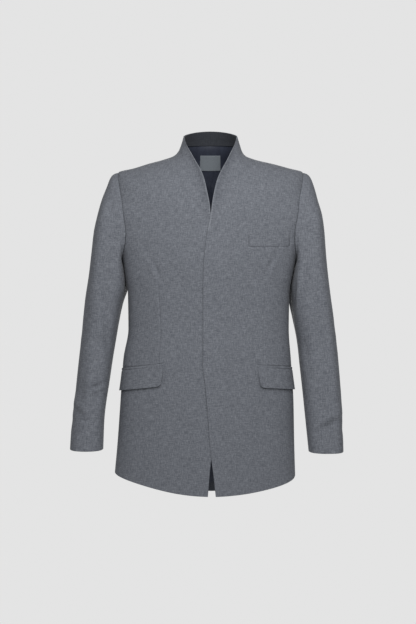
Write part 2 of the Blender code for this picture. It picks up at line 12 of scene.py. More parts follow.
import bmesh
import bpy
import numpy as np
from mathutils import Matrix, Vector

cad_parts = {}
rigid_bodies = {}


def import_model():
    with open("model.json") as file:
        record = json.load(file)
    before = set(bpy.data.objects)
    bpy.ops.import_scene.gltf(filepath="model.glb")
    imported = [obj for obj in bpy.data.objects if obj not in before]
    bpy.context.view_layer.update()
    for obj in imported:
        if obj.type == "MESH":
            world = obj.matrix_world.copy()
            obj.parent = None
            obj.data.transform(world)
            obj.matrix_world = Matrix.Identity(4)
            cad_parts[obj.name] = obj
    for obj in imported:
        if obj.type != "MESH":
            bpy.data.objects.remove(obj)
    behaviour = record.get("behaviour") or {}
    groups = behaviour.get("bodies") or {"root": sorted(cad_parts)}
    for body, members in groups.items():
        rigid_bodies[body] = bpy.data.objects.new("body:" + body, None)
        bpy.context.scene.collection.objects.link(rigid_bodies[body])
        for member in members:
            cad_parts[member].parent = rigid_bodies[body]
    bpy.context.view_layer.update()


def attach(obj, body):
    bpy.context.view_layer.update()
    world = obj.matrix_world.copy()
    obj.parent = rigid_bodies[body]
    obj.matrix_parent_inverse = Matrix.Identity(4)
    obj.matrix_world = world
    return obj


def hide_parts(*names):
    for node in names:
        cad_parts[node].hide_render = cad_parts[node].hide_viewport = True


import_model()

# %% [markdown]
# ## The cut
# A coat block is drafted from measures: how far each level of the body reaches to the sides, the
# front and the back, and how high it lies there. The short tables of the solids are used again,
# so a shell lies where its solid does. A few values are fitted more closely here than there: one
# row of the neck edge, the armhole's inset, the sleeves' roll, the pockets and the label's size.
# Metres, +Z up, the front towards -Y, the wearer's left +X.

# %% Cloth walls and the space between layers
BODY_CLOTH = 0.0020
SLEEVE_CLOTH = 0.0016
LINING_CLOTH = 0.0010
TRIM_CLOTH = 0.0014
SEAM = 0.0001
LAYER = 0.0005
LINING_GAP = 0.0016
print("walls in metres: body", BODY_CLOTH, "sleeves", SLEEVE_CLOTH, "lining", LINING_CLOTH)

# %% Sections of the body, from the hem up
Section = namedtuple("Section", "rise right left front back z_front z_right z_left z_back square fall")
BODY = [Section(*row) for row in (
    (0.000, 0.2244, 0.1986, 0.1210, 0.1220, -0.7880, -0.7360, -0.7410, -0.7910, 0.120, 2.00),
    (0.120, 0.2174, 0.1960, 0.1210, 0.1220, -0.6630, -0.6630, -0.6630, -0.6630, 0.140, 2.00),
    (0.215, 0.2105, 0.1940, 0.1200, 0.1200, -0.5680, -0.5680, -0.5680, -0.5680, 0.150, 2.00),
    (0.313, 0.2033, 0.1875, 0.1180, 0.1120, -0.4700, -0.4700, -0.4700, -0.4700, 0.160, 2.00),
    (0.383, 0.1915, 0.1825, 0.1160, 0.1020, -0.4000, -0.4000, -0.4000, -0.4000, 0.170, 2.00),
    (0.463, 0.1920, 0.1835, 0.1200, 0.1060, -0.3200, -0.3200, -0.3200, -0.3200, 0.190, 2.00),
    (0.508, 0.1975, 0.1895, 0.1240, 0.1130, -0.2750, -0.2750, -0.2750, -0.2750, 0.220, 2.00),
    (0.540, 0.2000, 0.1940, 0.1260, 0.1170, -0.2430, -0.2450, -0.2450, -0.2400, 0.250, 2.00),
    (0.635, 0.2165, 0.2165, 0.1220, 0.1210, -0.1650, -0.1400, -0.1400, -0.1500, 0.300, 1.75),
    (0.690, 0.2225, 0.2225, 0.1185, 0.1195, -0.1280, -0.0780, -0.0780, -0.1100, 0.130, 1.50),
    (0.718, 0.2215, 0.2215, 0.1150, 0.1170, -0.1100, -0.0470, -0.0470, -0.0910, 0.060, 1.35),
    (0.735, 0.2170, 0.2170, 0.1120, 0.1150, -0.0990, -0.0342, -0.0342, -0.0780, 0.025, 1.30),
    (0.760, 0.1790, 0.1835, 0.1055, 0.1090, -0.0840, -0.0242, -0.0242, -0.0600, 0.010, 1.75),
    (0.785, 0.1465, 0.1455, 0.0990, 0.1030, -0.0700, -0.0140, -0.0140, -0.0410, 0.000, 2.00),
    (0.810, 0.1120, 0.1060, 0.0920, 0.0960, -0.0550, -0.0047, -0.0047, -0.0220, 0.000, 2.00),
    (0.832, 0.0855, 0.0818, 0.0850, 0.0870, -0.0400, 0.0050, 0.0050, -0.0010, 0.000, 2.00),
    (0.848, 0.0757, 0.0742, 0.0800, 0.0780, -0.0270, 0.0150, 0.0150, 0.0170, 0.000, 2.00),
    (0.865, 0.0695, 0.0695, 0.0760, 0.0720, -0.0120, 0.0290, 0.0290, 0.0340, 0.000, 1.70),
    (0.881, 0.0655, 0.0655, 0.0740, 0.0690, 0.0010, 0.0420, 0.0420, 0.0510, 0.000, 1.45),
    (0.894, 0.0630, 0.0625, 0.0730, 0.0670, 0.0130, 0.0520, 0.0520, 0.0668, 0.000, 1.30),
)]
CHEST = 0.540
SHOULDER = 0.735
NECK = 0.865
COLLAR_TOP = 0.894
BACK_SQUARE = 0.15
LEFT_HEM_FALL = 1.25
LEFT_HEM_SOFT = 0.15
print("sections of the body:", len(BODY))

# %% The front edges, from collar to hem
Edge = namedtuple("Edge", "z left right")
FRONT_EDGE = [Edge(*row) for row in (
    (0.060, 0.0630, -0.0635),
    (0.045, 0.0605, -0.0612),
    (0.020, 0.0512, -0.0510),
    (-0.010, 0.0370, -0.0350),
    (-0.032, 0.0255, -0.0225),
    (-0.055, 0.0157, -0.0140),
    (-0.082, 0.0088, -0.0080),
    (-0.110, 0.0038, -0.0025),
    (-0.138, 0.0004, 0.0008),
    (-0.161, -0.0042, 0.0060),
    (-0.202, -0.0113, 0.0130),
    (-0.249, -0.0158, 0.0175),
    (-0.308, -0.0173, 0.0190),
    (-0.484, -0.0173, 0.0190),
    (-0.543, -0.0113, 0.0130),
    (-0.602, -0.0064, 0.0085),
    (-0.690, 0.0005, 0.0025),
    (-0.737, 0.0064, -0.0022),
    (-0.800, 0.0130, -0.0070),
)]
LAP_FULL = 0.024
LAP_GONE = 0.058
print("places on the front edges:", len(FRONT_EDGE))

# %% Seams round the body, in degrees from the middle of the front
CENTRE_BACK = 180.0
SIDE_FRONT = 78.0
SIDE_BACK = 104.0
SIDE_LEAN = 16.0
SHOULDER_SEAM = 97.0
ARMHOLE_FRONT = 36.0
ARMHOLE_BACK = 30.0
ARMHOLE_FULL = 0.75
ARMHOLE_INSET = 0.0004
print("side panels from", SIDE_FRONT, "to", SIDE_BACK, "degrees")

# %% Sections of the sleeves, from armhole to cuff
Cut = namedtuple("Cut", "along outer_x outer_z inner_x inner_z middle half_depth turned")
SLEEVE_RIGHT = [Cut(*row) for row in (
    (0.000, 0.2170, -0.0342, 0.2000, -0.2450, 0.000, 0.0740, 0.000),
    (0.014, 0.2315, -0.0420, 0.2030, -0.2478, -0.001, 0.0745, 0.002),
    (0.036, 0.2440, -0.0700, 0.2028, -0.2520, -0.002, 0.0750, 0.006),
    (0.058, 0.2552, -0.0990, 0.2020, -0.2580, -0.003, 0.0750, 0.010),
    (0.084, 0.2655, -0.1360, 0.2012, -0.2655, -0.004, 0.0750, 0.013),
    (0.112, 0.2738, -0.1740, 0.2002, -0.2750, -0.004, 0.0748, 0.015),
    (0.147, 0.2790, -0.2200, 0.1984, -0.2880, -0.004, 0.0745, 0.015),
    (0.190, 0.2855, -0.2750, 0.1985, -0.3060, -0.004, 0.0735, 0.012),
    (0.240, 0.2945, -0.3340, 0.2066, -0.3420, -0.004, 0.0715, 0.006),
    (0.335, 0.3040, -0.4280, 0.2220, -0.4300, -0.007, 0.0670, 0.000),
    (0.428, 0.3137, -0.5220, 0.2362, -0.5230, -0.019, 0.0610, 0.000),
    (0.522, 0.3240, -0.6160, 0.2480, -0.6160, -0.036, 0.0555, 0.000),
    (0.590, 0.3275, -0.6810, 0.2500, -0.6810, -0.049, 0.0520, 0.000),
)]
SLEEVE_LEFT = [Cut(*row) for row in (
    (0.000, 0.2170, -0.0342, 0.1940, -0.2450, 0.000, 0.0740, 0.000),
    (0.014, 0.2315, -0.0420, 0.1970, -0.2478, -0.001, 0.0745, 0.002),
    (0.036, 0.2436, -0.0700, 0.1966, -0.2520, -0.002, 0.0750, 0.006),
    (0.058, 0.2515, -0.0990, 0.1956, -0.2580, -0.003, 0.0750, 0.010),
    (0.084, 0.2620, -0.1360, 0.1944, -0.2655, -0.004, 0.0750, 0.013),
    (0.112, 0.2672, -0.1740, 0.1926, -0.2750, -0.004, 0.0748, 0.015),
    (0.147, 0.2705, -0.2200, 0.1902, -0.2880, -0.004, 0.0745, 0.016),
    (0.190, 0.2758, -0.2750, 0.1880, -0.3080, -0.004, 0.0735, 0.016),
    (0.240, 0.2830, -0.3340, 0.1900, -0.3440, -0.004, 0.0715, 0.012),
    (0.335, 0.2950, -0.4280, 0.2030, -0.4300, -0.007, 0.0670, 0.004),
    (0.428, 0.3030, -0.5220, 0.2127, -0.5230, -0.019, 0.0610, 0.000),
    (0.522, 0.3085, -0.6160, 0.2218, -0.6160, -0.036, 0.0555, 0.000),
    (0.590, 0.3095, -0.6860, 0.2285, -0.6860, -0.049, 0.0520, 0.000),
)]
SLEEVE_LENGTH = 0.590
SLEEVE_SETTLES = 0.090
SLEEVE_SQUARE = 0.040
SLEEVE_FLAT = 0.42
CUFF_SLOPE = 0.004
CUFF_SLOPE_BEGINS = 0.35
Roll = namedtuple("Roll", "outer inner")
SLEEVE_ROLLS = {1: Roll(0.62, 0.12), -1: Roll(0.14, 0.18)}
ROLL_BEGINS = 0.16
ROLL_FULL = 0.28
UNDER_FRONT = math.degrees(math.asin(((90 - SIDE_FRONT) / ARMHOLE_FRONT) ** (1 / ARMHOLE_FULL)))
CORNER_BACK = math.degrees(math.asin((SIDE_BACK - 90) / ARMHOLE_BACK))
UNDER_BACK = 360 - (CORNER_BACK + (180 - CORNER_BACK) / 3)
print("upper sleeves from", round(UNDER_FRONT, 1), "to", round(UNDER_BACK, 1), "degrees round the arm")

# %% [markdown]
# ## Largest folds of the sleeves
# An arm that hangs bends the cloth a little at the elbow. Such folds could be sculpted, but a few
# numbers each keep the solids and the shells alike, because these broad soft ones are in both:
# place along and angle around, reach along and around, depth, and lean.

# %% Sleeve folds
Fold = namedtuple("Fold", "along around long wide depth lean")
FOLDS_RIGHT = [Fold(*row) for row in (
    (0.335, 60.0, 0.022, 45.0, -0.0030, 0.008),
    (0.455, 120.0, 0.017, 50.0, -0.0028, -0.006),
    (0.520, 165.0, 0.016, 45.0, -0.0022, 0.005),
    (0.400, 270.0, 0.024, 50.0, 0.0030, 0.003),
)]
FOLDS_LEFT = [Fold(*row) for row in (
    (0.345, 55.0, 0.024, 45.0, -0.0030, -0.005),
    (0.470, 90.0, 0.020, 55.0, -0.0020, 0.004),
    (0.540, 150.0, 0.016, 50.0, -0.0026, -0.008),
    (0.395, 275.0, 0.024, 50.0, 0.0030, -0.003),
)]
print("folds of the sleeves:", len(FOLDS_RIGHT + FOLDS_LEFT))

# %% [markdown]
# ## From a table to a form
# A drafted table has few rows, so a smooth run through them is needed. A monotone cubic passes
# through every row and never swings past it, which a plain spline would do beside a sharp change
# such as the shoulder.


# %% A smooth run through a table
RUN_ON = 0.2


def smooth_columns(rows, key, columns):
    """Return a function giving the named columns of a table, run smoothly and without overshoot."""
    knots = np.array([getattr(row, key) for row in rows])
    values = np.array([[getattr(row, name) for name in columns] for row in rows])
    if knots[0] > knots[-1]:
        knots = knots[::-1]
        values = values[::-1]
    gaps = np.diff(knots)[:, None]
    rates = np.diff(values, axis=0) / gaps
    slopes = np.zeros_like(values)
    slopes[0] = rates[0]
    slopes[-1] = rates[-1]
    for i in range(1, len(knots) - 1):
        same = rates[i - 1] * rates[i] > 0
        a = 2 * gaps[i] + gaps[i - 1]
        b = gaps[i] + 2 * gaps[i - 1]
        safe_before = np.where(same, rates[i - 1], 1.0)
        safe_after = np.where(same, rates[i], 1.0)
        slopes[i] = np.where(same, (a + b) / (a / safe_before + b / safe_after), 0.0)

    def at(place):
        place = np.asarray(place, dtype=float)
        i = np.clip(np.searchsorted(knots, place) - 1, 0, len(knots) - 2)
        gap = gaps[i]
        f = np.clip((place[..., None] - knots[i][..., None]) / gap, -RUN_ON, 1 + RUN_ON)
        h1 = (1 + 2 * f) * (1 - f) ** 2
        h2 = f * (1 - f) ** 2
        h3 = f * f * (3 - 2 * f)
        h4 = f * f * (f - 1)
        return h1 * values[i] + h2 * gap * slopes[i] + h3 * values[i + 1] + h4 * gap * slopes[i + 1]

    return at


body_columns = smooth_columns(BODY, "rise", Section._fields[1:])
edge_columns = smooth_columns(FRONT_EDGE, "z", Edge._fields[1:])
print("the chest reaches, right and left", body_columns(CHEST)[:2].round(3))


# %% Two soft shapes that much is made of
def ease(f):
    """A smooth step from 0 to 1."""
    f = np.clip(f, 0.0, 1.0)
    return f * f * (3 - 2 * f)


def hill(away, reach):
    """A soft hill, 1 on its line and nearly gone at twice its reach."""
    return np.exp(-(away / reach) ** 2)


print("a hill at once and twice its reach", hill(np.array([1.0, 2.0]), 1.0).round(3))


# %% The body's outer face
def left_hem_drop(c):
    """The share of its drop that the left hem has made, by the cosine of the turn."""
    at_side = LEFT_HEM_SOFT ** LEFT_HEM_FALL
    whole = (1 + LEFT_HEM_SOFT ** 2) ** (LEFT_HEM_FALL / 2) - at_side
    return ((c * c + LEFT_HEM_SOFT ** 2) ** (LEFT_HEM_FALL / 2) - at_side) / whole


def body_point(turn, rise):
    """A point of the body's outer face: turn in degrees from the front (+ to the wearer's left)."""
    turn, rise = np.broadcast_arrays(np.asarray(turn, float), np.asarray(rise, float))
    columns = np.moveaxis(body_columns(rise), -1, 0)
    right, left, front, back, z_front, z_right, z_left, z_back, square, fall = columns
    s = np.sin(np.radians(turn))
    c = np.cos(np.radians(turn))
    bulge = 1 + square * np.where(c > 0, s ** 4, BACK_SQUARE) * (2 * s * c) ** 2
    x = np.where(s < 0, right, left) * s * bulge
    y = -np.where(c > 0, front, back) * c * bulge
    z_side = np.where(s < 0, z_right, z_left)
    dropped = np.where((s > 0) & (rise < BODY[1].rise), left_hem_drop(c), np.abs(c) ** fall)
    z = z_side + (np.where(c > 0, z_front, z_back) - z_side) * dropped
    return np.stack([x, y, z], axis=-1)


def length_of(points):
    return float(np.linalg.norm(np.diff(points, axis=0), axis=-1).sum())


chest_round = body_point(np.arange(361), CHEST)
print("the outer face is", round(length_of(chest_round), 3), "m round at the chest")

# %% Normals and distances on the body
TURN_STEP = 0.2
RISE_STEP = 0.0005


def unit(vectors):
    return vectors / np.linalg.norm(vectors, axis=-1, keepdims=True)


def surface_normal(surface, a, b, step_a, step_b):
    across = surface(a + step_a, b) - surface(a - step_a, b)
    along = surface(a, b + step_b) - surface(a, b - step_b)
    return unit(np.cross(across, along))


def turn_of(distance, turn, rise):
    """The degrees that cover a distance round the body there."""
    chord = body_point(turn + TURN_STEP, rise) - body_point(turn - TURN_STEP, rise)
    return distance * 2 * TURN_STEP / np.linalg.norm(chord, axis=-1)


def rise_of(distance, turn, rise):
    """The rise that covers a distance along the cloth there."""
    chord = body_point(turn, rise + RISE_STEP) - body_point(turn, rise - RISE_STEP)
    return distance * 2 * RISE_STEP / np.linalg.norm(chord, axis=-1)


print("a centimetre round the chest's front is", round(float(turn_of(0.01, 0.0, CHEST)), 2), "degrees")

# %% Where a front's free edge and a pocket's corner lie
HALVINGS = 40
EDGE_FROM, EDGE_TO = -40.0, 100.0
ROUND_STEPS = 300


def front_edge_turn(rise, side):
    """Where a front's free edge crosses a section, by halving; side is +1 left, -1 right."""
    rise = np.asarray(rise, float)
    low = np.full(rise.shape, EDGE_FROM)
    high = np.full(rise.shape, EDGE_TO)
    column = 0 if side > 0 else 1
    for _ in range(HALVINGS):
        middle = (low + high) / 2
        point = body_point(side * middle, rise)
        past = side * (point[..., 0] - edge_columns(point[..., 2])[..., column]) > 0
        high = np.where(past, middle, high)
        low = np.where(past, low, middle)
    return (low + high) / 2


def front_place(x, z, side):
    """The turn and rise of a point seen from the front so far to one side and at a height."""
    low_rise, high_rise = 0.0, COLLAR_TOP
    for _ in range(HALVINGS):
        rise = (low_rise + high_rise) / 2
        low, high = 0.0, 90.0
        for _ in range(HALVINGS):
            turn = (low + high) / 2
            if abs(body_point(side * turn, rise)[0]) > x:
                high = turn
            else:
                low = turn
        if body_point(side * turn, rise)[2] > z:
            high_rise = rise
        else:
            low_rise = rise
    return turn, rise


def turn_along(start, rise, length, side):
    """The turn reached by going a length round the body from a starting turn."""
    turn = start
    for _ in range(ROUND_STEPS):
        turn += turn_of(length / ROUND_STEPS, side * turn, rise)
    return turn


left_lap = -float(front_edge_turn(CHEST, 1))
print("at the chest the left front reaches", round(left_lap, 1), "degrees past the middle")


# %% Armholes and the seams between panels
# The armhole runs round by an angle: 0 under the arm, 90 at the front, 180 on top, 270 behind
def armhole_place(angle, inset=0.0):
    c = np.cos(np.radians(angle)) * (1 - inset)
    s = np.sin(np.radians(angle)) * (1 - inset)
    share = (1 - c) / 2
    rise = CHEST + (SHOULDER - CHEST) * share
    middle = 90 + (SHOULDER_SEAM - 90) * share ** 2
    forward = np.where(s > 0, ARMHOLE_FRONT * np.abs(s) ** ARMHOLE_FULL, ARMHOLE_BACK * s)
    return middle - forward, rise


def armhole_turn(rise, half_width, power):
    share = np.clip((rise - CHEST) / (SHOULDER - CHEST), 0, 1)
    middle = 90 + (SHOULDER_SEAM - 90) * share ** 2
    return middle - half_width * (2 * np.sqrt(share * (1 - share))) ** power


CORNER_FRONT_RISE = float(armhole_place(UNDER_FRONT)[1])


def side_front_turn(rise):
    return SIDE_FRONT - SIDE_LEAN * np.clip(1 - rise / CORNER_FRONT_RISE, 0, 1)


def front_outer_turn(rise):
    armhole = armhole_turn(rise, ARMHOLE_FRONT, ARMHOLE_FULL)
    low_half = rise < (CHEST + SHOULDER) / 2
    return np.where(low_half, np.minimum(side_front_turn(rise), armhole), armhole)


def back_outer_turn(rise):
    armhole = armhole_turn(rise, -ARMHOLE_BACK, 1.0)
    low_half = rise < (CHEST + SHOULDER) / 2
    return np.where(low_half, np.maximum(SIDE_BACK, armhole), armhole)


def lap_lift(point):
    """How far the left front lies out where it laps over the right one."""
    full = BODY_CLOTH + LAYER
    return full * ease((LAP_GONE - point[..., 0]) / (LAP_GONE - LAP_FULL))


print("the side seam meets the armhole at a rise of", round(CORNER_FRONT_RISE, 3), "m")


# %% The sleeve's outer face
def sleeve_surface(side):
    """The outer face of a sleeve by angle round it and distance along it."""
    table = SLEEVE_LEFT if side > 0 else SLEEVE_RIGHT
    folds = FOLDS_LEFT if side > 0 else FOLDS_RIGHT
    columns = smooth_columns(table, "along", Cut._fields[1:])

    def tube(angle, along):
        cut = np.moveaxis(columns(along), -1, 0)
        outer_x, outer_z, inner_x, inner_z, middle, half_depth, turned_in = cut
        c = np.cos(np.radians(angle))
        s = np.sin(np.radians(angle))
        swell = 1 + SLEEVE_SQUARE * (2 * s * c) ** 2
        for fold in folds:
            turned = (angle - fold.around + 180) % 360 - 180
            run = (along - fold.along - fold.lean * turned / 90) / fold.long
            swell = swell + fold.depth / half_depth * np.exp(-run ** 2 - (turned / fold.wide) ** 2)
        inner_back = np.where((c > 0) & (s < 0), (2 * s * c) ** 2, 0.0)
        x = (outer_x + inner_x) / 2 - (outer_x - inner_x) / 2 * c * swell - turned_in * inner_back
        z = (outer_z + inner_z) / 2 - (outer_z - inner_z) / 2 * c * swell
        hangs = ease((along - ROLL_BEGINS) / (ROLL_FULL - ROLL_BEGINS))
        roll = np.where(c < 0, SLEEVE_ROLLS[side].outer, SLEEVE_ROLLS[side].inner)
        flat = 1 + (SLEEVE_FLAT + (roll - SLEEVE_FLAT) * hangs) * np.where(s > 0, 1 - s * s, 0.0)
        y = middle - half_depth * s * swell * flat
        sloped = ease((along - CUFF_SLOPE_BEGINS) / (SLEEVE_LENGTH - CUFF_SLOPE_BEGINS))
        z = z - CUFF_SLOPE * s * sloped
        return np.stack([side * x, y, z], axis=-1)

    def surface(angle, along):
        angle, along = np.broadcast_arrays(np.asarray(angle, float), np.asarray(along, float))
        angle = angle % 360
        turn, rise = armhole_place(angle, ARMHOLE_INSET)
        start = body_point(side * turn, rise)
        share = ease(along / SLEEVE_SETTLES)[..., None]
        return tube(angle, along) + (start - tube(angle, np.zeros(along.shape))) * (1 - share)

    return surface


left_cuff = sleeve_surface(1)(np.arange(361), SLEEVE_LENGTH)
print("the left cuff is", round(length_of(left_cuff), 3), "m round")

# %% [markdown]
# ## Creases placed one by one
# Pressed wool falls smooth, with a few soft creases: at the dart tops, beside the neck's V, at
# the elbows and over the cuffs. A cloth simulation would scatter its own, so each one is put
# where it lies, as seen from the front or from behind, with a trough and a fainter ridge beside it.

# %% Tables of creases
Crease = namedtuple("Crease", "face x z lean long wide depth")
FRONT, BACK = -1, 1


def creases_on(face, *rows):
    return [Crease(face, *row) for row in rows]


BODY_CREASES = creases_on(
    FRONT,
    (-0.1250, -0.2640, 290.0, 0.020, 0.0055, -0.0022),
    (-0.1430, -0.2300, 300.0, 0.034, 0.0080, -0.0012),
    (0.1390, -0.2525, 65.0, 0.026, 0.0055, -0.0026),
    (-0.1470, -0.2080, 172.0, 0.034, 0.0090, -0.0007),
    (-0.0400, -0.1320, 62.0, 0.040, 0.0070, -0.0010),
    (-0.0520, -0.1500, 60.0, 0.032, 0.0060, -0.0007),
    (0.0560, -0.5250, 86.0, 0.045, 0.0110, -0.0006),
    (-0.0700, -0.6200, 96.0, 0.070, 0.0180, -0.0008),
    (0.1100, -0.6500, 82.0, 0.080, 0.0200, -0.0009),
) + creases_on(
    BACK,
    (0.0600, -0.3700, 8.0, 0.060, 0.0110, -0.0016),
    (-0.0550, -0.3900, 174.0, 0.055, 0.0100, -0.0014),
    (0.0250, -0.4150, 3.0, 0.070, 0.0120, -0.0012),
    (-0.1050, -0.2200, 68.0, 0.080, 0.0130, -0.0016),
    (0.1100, -0.2150, 110.0, 0.075, 0.0130, -0.0016),
    (-0.0900, -0.6400, 92.0, 0.090, 0.0200, -0.0012),
    (0.0800, -0.6600, 87.0, 0.080, 0.0180, -0.0010),
)
RIGHT_SLEEVE_CREASES = creases_on(
    FRONT,
    (-0.2900, -0.3900, 84.0, 0.055, 0.0100, -0.0016),
    (-0.3015, -0.5450, 84.0, 0.075, 0.0105, -0.0028),
    (-0.2420, -0.4000, 275.0, 0.065, 0.0090, -0.0048),
    (-0.2590, -0.5480, 266.0, 0.030, 0.0120, -0.0050),
    (-0.2655, -0.5350, 20.0, 0.017, 0.0048, -0.0055),
    (-0.2920, -0.6140, 3.0, 0.015, 0.0048, -0.0046),
    (-0.3060, -0.5950, 148.0, 0.020, 0.0078, -0.0036),
    (-0.2300, -0.1120, 80.0, 0.030, 0.0050, -0.0010),
) + creases_on(
    BACK,
    (-0.2700, -0.4050, 12.0, 0.036, 0.0130, -0.0016),
    (-0.2750, -0.4500, 170.0, 0.030, 0.0120, -0.0014),
    (-0.2900, -0.5600, 8.0, 0.026, 0.0110, -0.0010),
)
LEFT_SLEEVE_CREASES = creases_on(
    FRONT,
    (0.2785, -0.6225, 209.0, 0.025, 0.0082, -0.0060),
    (0.2250, -0.4700, 278.0, 0.050, 0.0070, -0.0020),
    (0.1945, -0.3250, 88.0, 0.036, 0.0045, -0.0055),
    (0.2680, -0.3600, 120.0, 0.030, 0.0090, -0.0012),
    (0.2500, -0.5400, 100.0, 0.040, 0.0090, -0.0010),
) + creases_on(
    BACK,
    (0.2600, -0.3950, 170.0, 0.036, 0.0130, -0.0016),
    (0.2650, -0.4420, 10.0, 0.030, 0.0120, -0.0014),
    (0.2750, -0.5700, 172.0, 0.026, 0.0110, -0.0010),
)
print("creases placed:", len(BODY_CREASES + RIGHT_SLEEVE_CREASES + LEFT_SLEEVE_CREASES))

# %% How far creases move the cloth in or out
RIDGE_SHARE = 0.55
RIDGE_AWAY = 1.7


def crease_depth(points, normals, creases):
    """The sum of the creases at points, each on the side of the form that it faces."""
    depth = np.zeros(points.shape[:-1])
    for crease in creases:
        lean = math.radians(crease.lean)
        dx = points[..., 0] - crease.x
        dz = points[..., 2] - crease.z
        along = (dx * math.cos(lean) + dz * math.sin(lean)) / crease.long
        across = (dz * math.cos(lean) - dx * math.sin(lean)) / crease.wide
        dent = np.exp(-across ** 2) - RIDGE_SHARE * np.exp(-(across + RIDGE_AWAY) ** 2)
        facing = ease(0.5 + crease.face * normals[..., 1])
        depth = depth + crease.depth * dent * np.exp(-along ** 2) * facing
    return depth


# %% [markdown]
# ## A shell of cloth
# Cloth has a face, a back and turned edges. A flat plate, one cell thick, is bent on to two grids
# of points, the face and the back. Lines of the grid lie close together at edges and seams, where
# the cloth turns under, and a few millimetres apart elsewhere. A Solidify modifier could give the
# wall too, but then its edge would stay square.

# %% Spacing of a grid's lines
CELL = 0.0036
FINE_CELL = 0.0008
BAND_CLEAR = 0.001
EDGE_STEPS = np.array([0.0, 0.0003, 0.0007, 0.0012, 0.0020, 0.0034])


def lines_across(ends, counts):
    """Distances across each row: close beside the ends of each zone, and evenly spread between."""
    places = []
    for zone, count in enumerate(counts):
        low = ends[:, zone:zone + 1]
        high = ends[:, zone + 1:zone + 2]
        close = np.minimum(1, (high - low) / (3 * EDGE_STEPS[-1]))
        first = low + EDGE_STEPS * close
        last = high - EDGE_STEPS[::-1] * close
        share = np.linspace(0, 1, count + 1)[1:-1]
        between = first[:, -1:] + (last[:, :1] - first[:, -1:]) * share
        places += [first[:, min(zone, 1):], between, last]
    return np.concatenate(places, axis=1)


def lines_along(low, high, cell=CELL, bands=()):
    """Rows from low to high, a cell apart, and closer in the given bands."""
    count = max(2, round((high - low) / cell))
    rows = lines_across(np.array([[low, high]]), [count])[0]
    for start, stop in bands:
        fine = np.arange(start, stop, FINE_CELL)
        rows = np.concatenate([rows[rows < start - BAND_CLEAR], fine, rows[rows > stop]])
    return rows


print("rows from hem to collar:", len(lines_along(0.0, COLLAR_TOP)))

# %% Pressed seams and turned edges
SEAM_DIP = 0.0004
SEAM_REACH = 0.0016
WEAR_AND_HIGHLIGHT_REACH = 0.0024
SEWN_ROLL = 0.15
TURNED_ROLL = 0.46


def turned_edge(inset, radius):
    """How far the face falls towards the middle of the wall, by the distance in from an edge."""
    f = np.clip(1 - inset / radius, 0, 1)
    return radius * (1 - np.sqrt(1 - f * f))


def edges_of_piece(insets, wall):
    """The dip at sewn edges, the roll at sewn and turned ones, and how near an edge lightened by wear
    and painted highlight is.
    """
    dip, roll, worn = 0.0, 0.0, 0.0
    for inset, kind in insets:
        share = SEWN_ROLL if kind == "sewn" else TURNED_ROLL
        roll = np.maximum(roll, turned_edge(inset, wall * share))
        if kind == "sewn":
            dip = dip + SEAM_DIP * hill(inset, SEAM_REACH)
        if kind == "worn":
            worn = np.maximum(worn, hill(inset, WEAR_AND_HIGHLIGHT_REACH))
    return dip, roll, worn


def panel_insets(distance, ends, row, kinds):
    """How far in from a panel's start, stop, lower and upper edges, each with its kind."""
    row = row[:, None]
    insets = (distance - ends[:, :1], ends[:, -1:] - distance, row - row[0], row[-1] - row)
    return list(zip(insets, kinds))


def trim_insets(s, t, width, height):
    """How far in from the four turned edges of a trim, by shares across and up it."""
    return [(inset, "turned") for inset in (s * width, (1 - s) * width, t * height, (1 - t) * height)]


print("a turned edge of the body rolls in by", TURNED_ROLL * BODY_CLOTH, "m")


# %% A piece's own flat map
def grain_lengths(face, upright=None):
    """Distances over the cloth, by weft and by warp, from its middle: the piece's own flat map."""
    middle = face.shape[1] // 2
    along = np.gradient(face, axis=0)
    normal = unit(np.cross(np.gradient(face, axis=1), along))
    rough = along if upright is None else np.broadcast_to(upright, face.shape)
    warp = unit(rough - normal * (rough * normal).sum(axis=-1, keepdims=True))
    lengths = []
    for way in (np.cross(warp, normal), warp):
        steps = (np.diff(face, axis=1) * (way[:, 1:] + way[:, :-1]) / 2).sum(axis=-1)
        row = np.concatenate([np.zeros((len(face), 1)), np.cumsum(steps, axis=1)], axis=1)
        spine = way[:, middle]
        steps = (np.diff(face[:, middle], axis=0) * (spine[1:] + spine[:-1]) / 2).sum(axis=-1)
        rising = np.concatenate([[0.0], np.cumsum(steps)])
        lengths.append(row - row[:, middle:middle + 1] + rising[:, None])
    return np.stack(lengths, axis=-1)


# %% Bend a plate into a shell
# Each piece's map starts at a place of its own on the cloth, as cut pieces do
CUT_APART = np.array([0.37, 0.61])


def mesh_object(name, bm):
    """A modelled shape as an object of the scene."""
    mesh = bpy.data.meshes.new(name)
    bm.to_mesh(mesh)
    bm.free()
    made = bpy.data.objects.new(name, mesh)
    bpy.context.scene.collection.objects.link(made)
    return made


